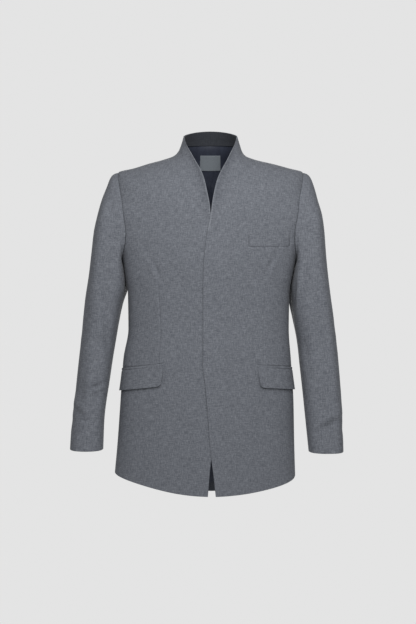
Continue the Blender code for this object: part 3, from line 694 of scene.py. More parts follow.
def sew_shell(node, face, back, worn, flat_map):
    """A plate, one cell thick, bent on to the points of the cloth's face and back."""
    rows, columns = face.shape[:2]
    bm = bmesh.new()
    bmesh.ops.create_grid(bm, x_segments=columns - 1, y_segments=rows - 1, size=0.5)
    lifted = bmesh.ops.extrude_face_region(bm, geom=bm.faces[:], use_keep_orig=True)
    copies = [part for part in lifted["geom"] if isinstance(part, bmesh.types.BMVert)]
    bmesh.ops.translate(bm, verts=copies, vec=(0.0, 0.0, 1.0))
    flat = np.array([vert.co for vert in bm.verts])
    column = np.rint((flat[:, 0] + 0.5) * (columns - 1)).astype(int)
    row = np.rint((flat[:, 1] + 0.5) * (rows - 1)).astype(int)
    places = np.where(flat[:, 2:] > 0.5, back[row, column], face[row, column])
    for vert, place in zip(bm.verts, places):
        vert.co = place
    bmesh.ops.recalc_face_normals(bm, faces=bm.faces)
    if bm.calc_volume(signed=True) < 0:
        bmesh.ops.reverse_faces(bm, faces=bm.faces)
    shell = mesh_object(node + "_cloth", bm)
    mesh = shell.data
    mesh.polygons.foreach_set("use_smooth", np.ones(len(mesh.polygons), bool))
    corner = np.zeros(len(mesh.loops), np.int32)
    mesh.loops.foreach_get("vertex_index", corner)
    grain = mesh.uv_layers.new(name="grain")
    flat_map = flat_map + CUT_APART * len(bpy.data.meshes)
    grain.data.foreach_set("uv", flat_map[row, column][corner].astype(np.float32).ravel())
    edge = mesh.attributes.new("turned_edge", "FLOAT", "POINT")
    nearness = np.broadcast_to(worn, (rows, columns))[row, column]
    edge.data.foreach_set("value", nearness.astype(np.float32))
    return shell


# %% Finish a piece: its cloth and its place in the frame, in place of its solid
def hang_piece(shell, finish, node):
    """Give a shell its finish and let it ride in place of its solid."""
    shell.data.materials.append(finish)
    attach(shell, "root")
    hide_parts(node)


def finish_piece(shell, finish, node):
    hang_piece(shell, finish, node)


# %% [markdown]
# ## Finishes
# The cloth is a wool suiting spun from mixed light and dark fibres. Close to, it is a fine twill
# with flecks; a step away it is a mottled mid grey. A picture of cloth could be laid on it, but
# noise drawn out along warp and weft never repeats and stays sharp close to. The pattern follows
# each piece's own flat map, so the twill turns with the cut, as real cloth does.


# %% Small helpers for finishes
def feed(tree, node, inputs):
    """Join each named socket to another node's output, or set the socket's own amount."""
    for name, value in inputs.items():
        if isinstance(value, bpy.types.NodeSocket):
            tree.links.new(value, node.inputs[name])
        else:
            node.inputs[name].default_value = value


def add_node(tree, kind, inputs):
    node = tree.nodes.new("ShaderNode" + kind)
    feed(tree, node, inputs)
    return node


def new_finish(name):
    finish = bpy.data.materials.new(name)
    finish.use_nodes = True
    tree = finish.node_tree
    return finish, tree, tree.nodes["Principled BSDF"]


# %% Patterns that follow the flat map
# A wave's scale of pi / 10 gives one rib a repeat
ONE_RIB = math.pi / 10


def grain_map(tree, across, along):
    """The piece's flat map, counted in repeats of that size."""
    flat_map = tree.nodes.new("ShaderNodeUVMap")
    flat_map.uv_map = "grain"
    scale = (1 / across, 1 / along, 1.0)
    counted = add_node(tree, "Mapping", {"Scale": scale, "Vector": flat_map.outputs["UV"]})
    return counted.outputs["Vector"]


def flecks(tree, across, along, detail):
    noise = add_node(tree, "TexNoise", {"Scale": 1.0, "Detail": detail, "Roughness": 0.6,
                                        "Vector": grain_map(tree, across, along)})
    return noise.outputs["Fac"]


def ribs(tree, repeat, direction):
    wave = add_node(tree, "TexWave", {"Scale": ONE_RIB, "Distortion": 0.8, "Detail": 1.0,
                                      "Vector": grain_map(tree, repeat, repeat)})
    wave.bands_direction = direction
    return wave.outputs["Fac"]


def edge_wear_and_painted_light(tree):
    """How near an edge lightened by wear and painted highlight is: below 0 where shade is painted
    beside the neck.
    """
    turned = tree.nodes.new("ShaderNodeAttribute")
    turned.attribute_name = "turned_edge"
    return turned.outputs["Fac"]


# %% Sums of patterns, their shades and their relief
def reckon(tree, operation, first, second):
    node = add_node(tree, "Math", {0: first, 1: second})
    node.operation = operation
    return node.outputs["Value"]


def blend_of(tree, parts):
    """The sum of (amount, value) pairs."""
    total = 0.0
    for amount, value in parts:
        total = reckon(tree, "ADD", total, reckon(tree, "MULTIPLY", value, amount))
    return total


def shades(tree, value, stops):
    ramp = add_node(tree, "ValToRGB", {"Fac": value})
    while len(ramp.color_ramp.elements) < len(stops):
        ramp.color_ramp.elements.new(0.5)
    for element, (place, colour) in zip(ramp.color_ramp.elements, stops):
        element.position = place
        element.color = (*colour, 1.0)
    return ramp.outputs["Color"]


def relief(tree, height, depth, strength):
    bump = add_node(tree, "Bump", {"Distance": depth, "Strength": strength, "Height": height})
    return bump.outputs["Normal"]


# %% Grey mixed-fibre wool
def grey_wool(name, dark, middle, light):
    finish, tree, shader = new_finish(name)
    fibres = flecks(tree, 0.0014, 0.0028, 2.0)
    warp = flecks(tree, 0.0020, 0.0130, 1.0)
    weft = flecks(tree, 0.0130, 0.0022, 1.0)
    mottle = flecks(tree, 0.0030, 0.0034, 2.0)
    cloud = flecks(tree, 0.0300, 0.0450, 1.0)
    twill = ribs(tree, 0.0013, "DIAGONAL")
    # The edge tone lightens edges, by wear and painted highlight, and darkens where shade is painted
    tone = blend_of(tree, [(0.27, fibres), (0.27, warp), (0.26, weft), (0.12, mottle), (0.04, cloud),
                           (0.04, twill), (0.18, edge_wear_and_painted_light(tree))])
    height = blend_of(tree, [(0.6, twill), (0.6, fibres)])
    feed(tree, shader, {
        "Base Color": shades(tree, tone, [(0.375, dark), (0.50, middle), (0.625, light)]),
        "Roughness": 0.88,
        "Specular IOR Level": 0.22,
        "Sheen Weight": 0.06,
        "Sheen Roughness": 0.45,
        "Normal": relief(tree, height, 0.0003, 0.35),
    })
    return finish


wool = grey_wool("grey_wool", (0.083, 0.089, 0.104), (0.134, 0.143, 0.163), (0.200, 0.211, 0.236))
# The collar's facing is the same wool given a much darker colour: painted shade inside the neck
facing_wool_painted_shade = grey_wool("collar_facing_wool_painted_shade", (0.025, 0.0275, 0.034), (0.032, 0.035, 0.042),
                        (0.040, 0.0435, 0.052))
# The hem's turn-up is the same wool given a darker colour: painted shade in the gap of the hem
turn_up_wool_painted_shade = grey_wool("hem_turn_up_wool_painted_shade", (0.044, 0.049, 0.060), (0.067, 0.073, 0.088),
                         (0.095, 0.103, 0.122))
print("wools:", wool.name, facing_wool_painted_shade.name, turn_up_wool_painted_shade.name)

# %% [markdown]
# ## Lining, label and thread
# The lining is a thin navy twill with a faint sheen, the label a plain satin with fine ribs across
# it, and the thread a matt grey. Flat colours would do from afar, but a fine rib keeps them cloth
# when seen close to. The thread is too small for a flat map, so it reads its place in space.


# %% Navy lining, woven label and sewing thread
def navy_twill():
    finish, tree, shader = new_finish("navy_lining")
    twill = ribs(tree, 0.0009, "DIAGONAL")
    tone = blend_of(tree, [(0.25, twill), (0.75, flecks(tree, 0.0120, 0.0400, 2.0))])
    feed(tree, shader, {
        "Base Color": shades(tree, tone, [(0.25, (0.026, 0.030, 0.046)),
                                          (0.75, (0.042, 0.049, 0.071))]),
        "Roughness": 0.46,
        "Specular IOR Level": 0.35,
        "Normal": relief(tree, twill, 0.0002, 0.25),
    })
    return finish


def label_satin():
    finish, tree, shader = new_finish("label_satin")
    weft = ribs(tree, 0.0007, "Y")
    cloud = flecks(tree, 0.0030, 0.0030, 2.0)
    tone = blend_of(tree, [(0.30, weft), (0.45, cloud), (0.25, edge_wear_and_painted_light(tree))])
    feed(tree, shader, {
        "Base Color": shades(tree, tone, [(0.20, (0.183, 0.205, 0.226)),
                                          (0.80, (0.253, 0.283, 0.315))]),
        "Roughness": 0.62,
        "Normal": relief(tree, weft, 0.0002, 0.3),
    })
    return finish


def sewing_thread():
    finish, tree, shader = new_finish("sewing_thread")
    place = tree.nodes.new("ShaderNodeTexCoord")
    ply = add_node(tree, "TexNoise", {"Scale": 2500.0, "Vector": place.outputs["Object"]})
    colours = [(0.3, (0.10, 0.11, 0.12)), (0.7, (0.17, 0.18, 0.19))]
    feed(tree, shader, {"Base Color": shades(tree, ply.outputs["Fac"], colours), "Roughness": 0.6})
    return finish


lining_cloth = navy_twill()
label_cloth = label_satin()
thread = sewing_thread()
print("other finishes:", lining_cloth.name, label_cloth.name, thread.name)

# %% [markdown]
# ## Panels of the body
# Fronts, sides and backs are cut apart and sewn edge to edge. One body could be modelled whole and
# cut, but panels made apart have real edges at every seam. Each runs from one turn round the body
# to another at every rise, so its rows are laid out by real distance along the cloth.
# The front's waist dart is a seam too: it gets grid lines of its own, beside which the cloth dips.

# %% Lay a panel out by distance
PANEL_SAMPLES = 121


def distances_across(points):
    steps = np.linalg.norm(np.diff(points, axis=1), axis=-1)
    return np.concatenate([np.zeros((len(points), 1)), np.cumsum(steps, axis=1)], axis=1)


def lay_out(surface, start, stop, row, inset_start, inset_stop, marks=()):
    """A panel's grid on a form: its turns, distances across and the ends of its zones.

    Lines are kept on the marked turns, which part one zone from the next.
    """
    sampled = start[:, None] + (stop - start)[:, None] * np.linspace(0, 1, PANEL_SAMPLES)
    covered = distances_across(surface(sampled, row[:, None]))
    width = covered[:, -1]
    stops = [np.full(len(row), inset_start)]
    for mark in marks:
        stops.append(np.array([np.interp(m, s, c) for m, s, c in zip(mark, sampled, covered)]))
    stops.append(width - inset_stop)
    ends = np.stack(stops, axis=1)
    counts = [max(2, round(gap / CELL)) for gap in np.diff(ends, axis=1).max(axis=0)]
    distance = lines_across(ends, counts)
    turn = np.stack([np.interp(d, c, s) for d, c, s in zip(distance, covered, sampled)])
    return turn, distance, ends


# %% Sew a shell on to the body
def body_half(side):
    """The body's outer face with turns counted towards one side."""
    return lambda turn, rise: body_point(side * turn, rise)


def cloth_on_body(turn, rise, out):
    """Points so far out from the body's outer face, creases included."""
    turn, rise = np.broadcast_arrays(np.asarray(turn, float), np.asarray(rise, float))
    base = body_point(turn, rise)
    normal = surface_normal(body_point, turn, rise, TURN_STEP, RISE_STEP)
    out = np.asarray(out, float) + crease_depth(base, normal, BODY_CREASES)
    return base + normal * out[..., None]


# The warp runs up the body, and in over the shoulders
UPRIGHT = {FRONT: np.array([0.0, 0.35, 1.0]), BACK: np.array([0.0, -0.35, 1.0])}


def sew_on_body(node, turn, rise, out, wall, insets, set_back=0.0, faces=FRONT, lowered=0.0):
    """A shell of the given wall on the body, its face so far out, its edges sewn or turned."""
    dip, roll, worn = edges_of_piece(insets, wall)
    face = cloth_on_body(turn, rise, out - dip - roll)
    back = cloth_on_body(turn, rise, out - wall - dip + roll)
    face[..., 1] += set_back
    back[..., 1] += set_back
    # The edge tone: lighter at edges by wear and painted highlight, and darker where shade is painted
    return sew_shell(node, face, back, worn - lowered, grain_lengths(face, UPRIGHT[faces])), face


# %% [markdown]
# ## Where the pockets are let in
# A pocket's mouth is cut through the front, and its seams draw the cloth in. A hole could be cut
# in the shell, but nothing shows in a closed pocket, so a narrow dip along each seam is enough to
# give the shadow, and the front keeps its even grid.

# %% Places of the pockets
FLAP_FRONT_X = 0.108
FLAP_FRONT_Z = -0.4870
FLAP_LENGTH = 0.150
JET_HEIGHT = 0.0052
Pocket = namedtuple("Pocket", "drop fall")
POCKETS = {1: Pocket(0.0023, 0.0068), -1: Pocket(-0.0010, 0.0125)}
POCKET_RUNS_ON = 0.05
WELT_LEFT_X = 0.0895
WELT_RIGHT_X = 0.1835
WELT_TOP_Z = -0.184
WELT_HEIGHT = 0.027
WELT_TILT = 0.002
JET_BAND = 0.010
WELT_BAND = 0.003


def flap_places(side):
    turn, rise = front_place(FLAP_FRONT_X, FLAP_FRONT_Z, side)
    return turn, rise, turn_along(turn, rise, FLAP_LENGTH, side)


FLAPS = {side: flap_places(side) for side in (1, -1)}


def pocket_line(side, share):
    """The rise of a flap's upper edge along it: it falls towards the side, less and less."""
    share = np.clip(share, -POCKET_RUNS_ON, 1 + POCKET_RUNS_ON)
    return FLAPS[side][1] - POCKETS[side].drop - POCKETS[side].fall * (1 - (1 - share) ** 2)


WELT_ENDS = ((WELT_LEFT_X, 0.0), (WELT_RIGHT_X, WELT_TILT))
WELT_CORNERS = np.array([[front_place(x, z + higher, 1) for x, higher in WELT_ENDS]
                         for z in (WELT_TOP_Z - WELT_HEIGHT, WELT_TOP_Z)])
WELT_FOOT = WELT_CORNERS[0, :, 1]
POCKET_BANDS = [(FLAPS[1][1] - JET_BAND, FLAPS[1][1] + JET_BAND),
                (WELT_FOOT.min() - WELT_BAND, WELT_FOOT.max() + WELT_BAND)]
print("left flap from", round(float(FLAPS[1][0]), 1), "to", round(float(FLAPS[1][2]), 1), "degrees")

# %% How the pockets draw the coat in
POCKET_DIP = 0.0013
POCKET_DIP_REACH = 0.0012
POCKET_PAST, POCKET_SOFT = 0.03, 0.02
WELT_DIP = 0.0006
WELT_END_DIP = 0.0016
WELT_DIP_REACH = 0.0010
WELT_END_REACH = 0.0015
WELT_PAST = 0.02
WELT_PAST_UP = 0.05


def pocket_span(share, past, soft):
    """1 along a pocket, falling softly to 0 a little past its ends."""
    return ease((share + past) / soft) * ease((1 + past - share) / soft)


def pocket_dip(side, turn, rise):
    """How deep the coat is drawn in along the jets, and on three sides of the chest welt."""
    start, _, stop = FLAPS[side]
    share = (turn - start) / (stop - start)
    line = pocket_line(side, share) + SEAM + JET_HEIGHT
    inside = pocket_span(share, POCKET_PAST, POCKET_SOFT)
    dip = POCKET_DIP * hill(rise - line, POCKET_DIP_REACH) * inside
    if side < 0:
        return dip
    (low_left, low_right), (top_left, top_right) = WELT_CORNERS
    per_degree = 1 / turn_of(1.0, low_left[0], low_left[1])
    width = (turn - low_left[0]) / (low_right[0] - low_left[0])
    low_rise = low_left[1] + (low_right[1] - low_left[1]) * width
    height = (rise - low_rise) / (top_left[1] - low_left[1])
    within = pocket_span(width, WELT_PAST, WELT_PAST)
    upright = pocket_span(height, WELT_PAST_UP, WELT_PAST_UP)
    left_turn = low_left[0] + (top_left[0] - low_left[0]) * height
    right_turn = low_right[0] + (top_right[0] - low_right[0]) * height
    below = hill(rise - low_rise + WELT_DIP_REACH / 2, WELT_DIP_REACH) * within
    before = hill((turn - left_turn) * per_degree + WELT_END_REACH / 2, WELT_END_REACH)
    behind = hill((turn - right_turn) * per_degree - WELT_END_REACH / 2, WELT_END_REACH)
    return dip + np.maximum(WELT_DIP * below, WELT_END_DIP * np.maximum(before, behind) * upright)


# %% Waist darts of the fronts
Dart = namedtuple("Dart", "top_x top_z low_x low_z")
DARTS = {1: Dart(0.1340, -0.2650, 0.1234, -0.4795), -1: Dart(0.1269, -0.2585, 0.1187, -0.4795)}
DART_TAPER = 0.070
DART_RUNS_ON, DART_ENDS_IN = 0.03, 0.02
DART_DRAWN = {1: 0.5, -1: 1.0}
DART_DIP = 0.0010
DART_REACH = 0.0013
DART_PINCH = 0.0006
DART_PINCH_REACH = 0.014
DART_SWELL = {1: 0.0020, -1: 0.0035}
DART_SWELL_REACH = 0.030
DART_LAYER = 0.0006
DART_LAYER_REACH = 0.007


def kept_line(low, top, rise, start, stop):
    """A line between two (turn, rise) places, run on past them at the same share of the panel."""
    line = np.interp(rise, [low[1], top[1]], [low[0], top[0]])
    share = (line - start) / (stop - start)
    share = np.interp(np.clip(rise, low[1], top[1]), rise, share)
    return start + share * (stop - start)


def dart_marks(side, rise, start, stop):
    """The dart's turn at each rise, and how deep it is sewn there."""
    dart = DARTS[side]
    top = front_place(dart.top_x, dart.top_z, side)
    low = front_place(dart.low_x, dart.low_z, side)
    runs_out = ease((rise - low[1] + DART_RUNS_ON) / DART_ENDS_IN)
    depth = ease((top[1] - rise) / DART_TAPER) * runs_out
    return kept_line(low, top, rise, start, stop), depth


def dart_form(side, away):
    """How far a dart moves the cloth: pinched on its line, with a layer and a swell beside it."""
    pinch = DART_DIP * hill(away, DART_REACH)
    pinch = pinch + DART_PINCH * hill(away, DART_PINCH_REACH)
    layer = DART_LAYER * hill(away, DART_LAYER_REACH) * ease(away / DART_REACH)
    return (layer - pinch) * DART_DRAWN[side] + DART_SWELL[side] * hill(away, DART_SWELL_REACH)


beside_dart = np.array([0.0, 0.01])
print("out on the left dart's line and 1 cm behind it", dart_form(1, beside_dart).round(4), "m")

# %% The fronts
# Beside the neck the edge is lifted forward, and the cloth beside it is given a darker tone: painted
# shade
SIDES = (("left", 1), ("right", -1))
EDGE_RIDGE = 0.0011
EDGE_RIDGE_AWAY = 0.0030
EDGE_RIDGE_REACH = 0.0060
NECK_OPENS, NECK_OPENS_EASE = 0.625, 0.06
NECK_LIFT = 0.0070
NECK_LIFT_REACH = 0.022
COLLAR_EASE = 0.08
NECK_PAINTED_SHADE = 0.32
NECK_PAINTED_SHADE_REACH = 0.026
NECK_PAINTED_SHADE_LOW, NECK_PAINTED_SHADE_LOW_EASE = 0.680, 0.070
NECK_PAINTED_SHADE_TOP, NECK_PAINTED_SHADE_TOP_EASE = 0.880, 0.035
TIP_ROUND = 0.008
FRONT_RISES = lines_along(0.0, COLLAR_TOP, CELL, POCKET_BANDS)


def tip_fall(distance, rise):
    """How far the collar's top edge falls away to its rounded front corner."""
    near = np.clip(1 - distance / TIP_ROUND, 0, 1)
    fall = TIP_ROUND * (1 - np.sqrt(1 - near ** 2))
    return fall * ease(1 - (COLLAR_TOP - rise) / (3 * TIP_ROUND))


def sew_front(node, side):
    rise = FRONT_RISES
    start = front_edge_turn(rise, side)
    stop = front_outer_turn(rise)
    dart_line, sewn = dart_marks(side, rise, start, stop)
    marks = [dart_line]
    if side > 0:
        before, behind = [kept_line(*WELT_CORNERS[:, end], rise, start, stop) for end in (0, 1)]
        marks = [before, dart_line, behind]
    turn, distance, ends = lay_out(body_half(side), start, stop, rise, 0.0, SEAM / 2, marks)
    dart = len(marks) // 2 + 1
    rise = rise[:, None]
    out = dart_form(side, distance - ends[:, dart:dart + 1]) * sewn[:, None]
    out = out - pocket_dip(side, turn, rise)
    at_neck = ease((rise - NECK_OPENS) / NECK_OPENS_EASE) * ease((COLLAR_TOP - rise) / COLLAR_EASE)
    ridge = EDGE_RIDGE * hill(distance - EDGE_RIDGE_AWAY, EDGE_RIDGE_REACH)
    out = out + ridge * (1 - at_neck)
    if side > 0:
        out = out + lap_lift(body_point(turn, rise))
    lift = NECK_LIFT * np.clip(1 - distance / NECK_LIFT_REACH, 0, 1) ** 2 * at_neck
    # Painted shade: beside the neck's V the tone is darkened, fading out from its edge
    painted_shade_span = (ease((rise - NECK_PAINTED_SHADE_LOW) / NECK_PAINTED_SHADE_LOW_EASE)
                   * ease((NECK_PAINTED_SHADE_TOP - rise) / NECK_PAINTED_SHADE_TOP_EASE))
    lowered = NECK_PAINTED_SHADE * hill(distance, NECK_PAINTED_SHADE_REACH) * painted_shade_span
    insets = panel_insets(distance, ends, FRONT_RISES, ("turned", "sewn", "turned", "turned"))
    # Along the V's edge the tone is lightened: painted highlight where the turned edge catches light,
    # and wear
    insets.append((distance + np.clip(NECK_OPENS - rise, 0, None), "worn"))
    level = rise - tip_fall(distance, rise)
    shell, face = sew_on_body(node, side * turn, level, out, BODY_CLOTH, insets, -lift, lowered=lowered)
    finish_piece(shell, wool, node)


for which, side in SIDES:
    sew_front("front_" + which, side)

# %% The backs, joined by the centre back seam
BACK_RISES = lines_along(0.0, NECK)


def sew_back(node, side):
    rise = BACK_RISES
    start = back_outer_turn(rise)
    stop = np.full(len(rise), CENTRE_BACK)
    turn, distance, ends = lay_out(body_half(side), start, stop, rise, SEAM / 2, SEAM / 2)
    insets = panel_insets(distance, ends, rise, ("sewn", "sewn", "turned", "sewn"))
    shell, face = sew_on_body(node, side * turn, rise[:, None], 0.0, BODY_CLOTH, insets, faces=BACK)
    finish_piece(shell, wool, node)


for which, side in SIDES:
    sew_back("back_" + which, side)


# %% The side panels under the arms
def side_top(turn):
    """The rise of the armhole's lower edge over a turn."""
    front = np.clip((90 - turn) / ARMHOLE_FRONT, 0, 1) ** (1 / ARMHOLE_FULL)
    sine = np.where(turn < 90, front, (90 - turn) / ARMHOLE_BACK)
    share = (1 - np.sqrt(1 - sine ** 2)) / 2
    return CHEST + (SHOULDER - CHEST) * share


SIDE_SPAN = 0.080


def sew_side(node, side):
    share = lines_along(0.0, CHEST, CELL, POCKET_BANDS[:1])[:, None] / CHEST
    across = lines_along(0.0, SIDE_SPAN) / SIDE_SPAN
    straight = SIDE_FRONT + (SIDE_BACK - SIDE_FRONT) * across[None, :]
    top = side_top(straight)
    rise = top * share
    turn = straight + (side_front_turn(rise) - SIDE_FRONT) * (1 - across)
    turn = turn + turn_of(SEAM / 2, side * turn, rise) * (1 - 2 * across)
    distance = distances_across(body_point(side * turn, rise))
    insets = [(distance, "sewn"), (distance[:, -1:] - distance, "sewn"),
              (rise, "turned"), (top - rise, "sewn")]
    out = -pocket_dip(side, turn, rise)
    shell, face = sew_on_body(node, side * turn, rise, out, BODY_CLOTH, insets)
    finish_piece(shell, wool, node)


for which, side in SIDES:
    sew_side("side_" + which, side)

# %% [markdown]
# ## The back collar
# A stand collar has two layers: the stand outside and its facing inside, each sewn to the neck.
# The facing is joined at the centre back, which shows in the open neck as a fine upright line.
# Both could be bent from a straight strip, but laid on the body's own sections they meet the
# collar that is cut in one with the fronts.

# %% Collar stand and facing
CENTRE_DIP = 0.0005
CENTRE_REACH = 0.0012
FACING_PROUD = 0.0016
FACING_PROUD_REACH = 0.007
COLLAR_CELL = 0.0025
COLLAR_FOOT = NECK + float(rise_of(SEAM / 2, CENTRE_BACK, NECK))
COLLAR_RISES = lines_along(COLLAR_FOOT, COLLAR_TOP, COLLAR_CELL)


def sew_collar(node, out, wall, finish):
    rise = COLLAR_RISES
    start = np.full(len(rise), SHOULDER_SEAM)
    middle = np.full(len(rise), CENTRE_BACK)
    turn, distance, ends = lay_out(body_half(1), start, 360 - start, rise, SEAM / 2, SEAM / 2, [middle])
    seam = CENTRE_DIP * hill(distance - ends[:, 1:2], CENTRE_REACH)
    insets = panel_insets(distance, ends, rise, ("sewn", "sewn", "sewn", "turned"))
    dip, roll, worn = edges_of_piece(insets, wall)
    proud = FACING_PROUD * hill(rise - rise[0], FACING_PROUD_REACH)[:, None] * (out < 0)
    face = cloth_on_body(turn, rise[:, None], out - seam * (out == 0) - dip - roll - proud)
    back = cloth_on_body(turn, rise[:, None], out - wall - dip + roll + seam * (out < 0) - proud)
    shell = sew_shell(node, face, back, worn, grain_lengths(face))
    finish_piece(shell, finish, node)


sew_collar("collar_stand", 0.0, BODY_CLOTH, wool)
# The facing wears the darker copy of the wool, painted shade
sew_collar("collar_facing", -BODY_CLOTH - LAYER, LINING_CLOTH, facing_wool_painted_shade)

# %% [markdown]
# ## Inside the back
# The lining hangs inside the two backs, cut a little full, so it falls in soft upright folds.
# It shows in the neck and in the small gap of the hem, where the turned-up hem shows below it.
# A cloth simulation could find such folds, but listed folds come out the same each time.

# %% Lining with its folds
INSIDE_BACK = -BODY_CLOTH - LINING_GAP
INSIDE_LINING = INSIDE_BACK - LINING_CLOTH - LAYER
HEM_TURN = 0.022
HEM_LINE = float(rise_of(HEM_TURN, CENTRE_BACK, 0.0))
TURN_UP_LOW, TURN_UP_TOP = 0.04, 0.98
LINING_INSET = 0.004
LINING_CELL = CELL * 1.2
NECK_DIP = 0.0012
NECK_DIP_REACH = 0.006
FOLD_LOW_EASE, FOLD_TOP_EASE = 0.05, 0.04
LiningFold = namedtuple("LiningFold", "turn wide depth low high")
LINING_FOLDS = [LiningFold(*row) for row in (
    (178.4, 1.0, 0.0038, 0.20, 0.775),
    (181.3, 1.1, 0.0028, 0.12, 0.780),
    (184.6, 1.5, 0.0020, 0.30, 0.765),
    (173.6, 1.8, 0.0020, 0.16, 0.760),
    (160.0, 3.0, 0.0014, 0.10, 0.700),
    (200.5, 3.4, 0.0014, 0.08, 0.690),
    (176.2, 2.0, 0.0014, 0.02, 0.150),
    (183.0, 1.6, 0.0012, 0.02, 0.120),
)]


def lining_fold(turn, rise):
    depth = 0.0
    for fold in LINING_FOLDS:
        inside = ease((rise - fold.low) / FOLD_LOW_EASE) * ease((fold.high - rise) / FOLD_TOP_EASE)
        depth = depth + fold.depth * hill(turn - fold.turn, fold.wide) * inside
    return depth


def sew_inside_back(node, low, high, fold, finish):
    rise = lines_along(low, high, LINING_CELL)
    start = back_outer_turn(rise)
    start = start + turn_of(LINING_INSET, start, rise)
    middle = np.full(len(rise), CENTRE_BACK)
    turn, distance, ends = lay_out(body_half(1), start, 360 - start, rise, 0.0, 0.0, [middle])
    insets = panel_insets(distance, ends, rise, ("turned",) * 4)
    at_seam = NECK_DIP * hill(NECK - rise, NECK_DIP_REACH)[:, None]
    out = INSIDE_BACK - lining_fold(turn, rise[:, None]) * fold + at_seam
    shell, face = sew_on_body(node, turn, rise[:, None], out, LINING_CLOTH, insets, faces=BACK)
    finish_piece(shell, finish, node)


sew_inside_back("lining_back", HEM_LINE, NECK - SEAM, 1, lining_cloth)
# The turn-up wears the darker copy of the wool, painted shade
sew_inside_back("hem_turn_up", HEM_LINE * TURN_UP_LOW, HEM_LINE * TURN_UP_TOP, 0, turn_up_wool_painted_shade)

# %% [markdown]
# ## The label
# A small woven label, left blank, is sewn to the lining below the neck seam by short stitches
# just inside its edge. A picture could show the stitches, but short threads of real thickness
# catch the light and stay sharp close to.

# %% Label
LABEL_WIDTH = 0.0522
LABEL_HEIGHT = 0.0397
LABEL_DROP = 0.0233
LABEL_STEPS = 60
LABEL_CELL = 0.0015


def label_rises():
    """The rises of the label's lower and upper edges, by distance over the lining."""
    rise = NECK
    edges = []
    for length in (LABEL_DROP, LABEL_HEIGHT):
        for _ in range(LABEL_STEPS):
            rise = rise - float(rise_of(length / LABEL_STEPS, CENTRE_BACK, rise))
        edges.append(rise)
    return edges[1], edges[0]


LABEL_LOW, LABEL_TOP = label_rises()


def label_place(s, t):
    rise = LABEL_LOW + (LABEL_TOP - LABEL_LOW) * t
    half = turn_of(LABEL_WIDTH / 2, np.full(np.shape(s), CENTRE_BACK), rise)
    return CENTRE_BACK + half * (2 * s - 1), rise


def trim_grid(width, height, cell):
    """Shares across and up a small trim, close beside its edges."""
    return np.meshgrid(lines_along(0.0, width, cell) / width, lines_along(0.0, height, cell) / height)


def sew_label():
    s, t = trim_grid(LABEL_WIDTH, LABEL_HEIGHT, LABEL_CELL)
    turn, rise = label_place(s, t)
    insets = trim_insets(s, t, LABEL_WIDTH, LABEL_HEIGHT)
    return sew_on_body("neck_label", turn, rise, INSIDE_LINING, LINING_CLOTH, insets, faces=BACK)


label, label_face = sew_label()
print("the label lies at rises from", round(LABEL_LOW, 3), "to", round(LABEL_TOP, 3), "m")

# %% The label's stitches
STITCH_LONG = 0.0020
STITCH_STEP = 0.0032
STITCH_RADIUS = 0.00018
STITCH_INSET = 0.0014
STITCH_SEGMENTS = 6


def label_stitches():
    """Short threads along the label's four sides, each lying on its face."""
    bm = bmesh.new()
    near = STITCH_INSET
    wide, high = LABEL_WIDTH - 2 * near, LABEL_HEIGHT - 2 * near
    sides_of_label = [((near, near), (1, 0), wide), ((near, LABEL_HEIGHT - near), (1, 0), wide),
                      ((near, near), (0, 1), high), ((LABEL_WIDTH - near, near), (0, 1), high)]
    for corner, way, length in sides_of_label:
        for start in np.arange(0.0, length - STITCH_LONG, STITCH_STEP):
            ends = []
            for place in (start, start + STITCH_LONG):
                s = (corner[0] + way[0] * place) / LABEL_WIDTH
                t = (corner[1] + way[1] * place) / LABEL_HEIGHT
                turn, rise = label_place(np.array(s), np.array(t))
                ends.append(Vector(cloth_on_body(turn, rise, INSIDE_LINING - LINING_CLOTH)))
            run = ends[1] - ends[0]
            pose = run.to_track_quat("Z", "Y").to_matrix().to_4x4()
            pose.translation = (ends[0] + ends[1]) / 2
            bmesh.ops.create_cone(bm, cap_ends=True, segments=STITCH_SEGMENTS, radius1=STITCH_RADIUS,
                                  radius2=STITCH_RADIUS, depth=STITCH_LONG, matrix=pose)
    threads = mesh_object("label_stitches", bm)
    threads.data.materials.append(thread)
    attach(threads, "root")
    return threads


stitches = label_stitches()
finish_piece(label, label_cloth, "neck_label")
print("label stitches' faces:", len(stitches.data.polygons))

# %% [markdown]
# ## Pockets
# A hip pocket has a jet, the narrow folded strip over its mouth, and a flap that hangs from under
# the jet and stands a little off the coat. The breast pocket has a welt sewn on three sides.
# They could be raised out of the front, but as strips of their own they keep crisp edges.

# %% Jets
TRIM_CELL = 0.0022
JET_BELLY = 0.0003
JET_PAST = 0.002


def sew_jet(node, side):
    start, top, stop = FLAPS[side]
    margin = turn_of(JET_PAST, side * start, top)
    s, t = trim_grid(FLAP_LENGTH, JET_HEIGHT, TRIM_CELL)
    turn = start - margin + (stop - start + 2 * margin) * s
    rise = pocket_line(side, s) + SEAM + JET_HEIGHT * t
    out = LAYER + LINING_CLOTH + JET_BELLY * np.sin(np.pi * t)
    insets = trim_insets(s, t, FLAP_LENGTH, JET_HEIGHT)
    shell, _ = sew_on_body(node, side * turn, rise, out, LINING_CLOTH, insets)
    hang_piece(shell, wool, node)
    print(f"{shell.name}: {len(shell.data.polygons)} faces")


for which, side in SIDES:
    sew_jet("jet_" + which, side)

# %% Flaps
FLAP_HEIGHT = 0.0475
FLAP_SLANT = 0.004
FLAP_CORNER = 0.0078
FLAP_STAND = 0.0030
FLAP_BELLY = 0.0006
FLAP_TUCK = 0.0010
FLAP_TUCK_REACH = 0.0022
FLAP_LIFT = 0.0012
FLAP_LIFT_REACH = 0.008
FLAP_LIFT_SOON = 3


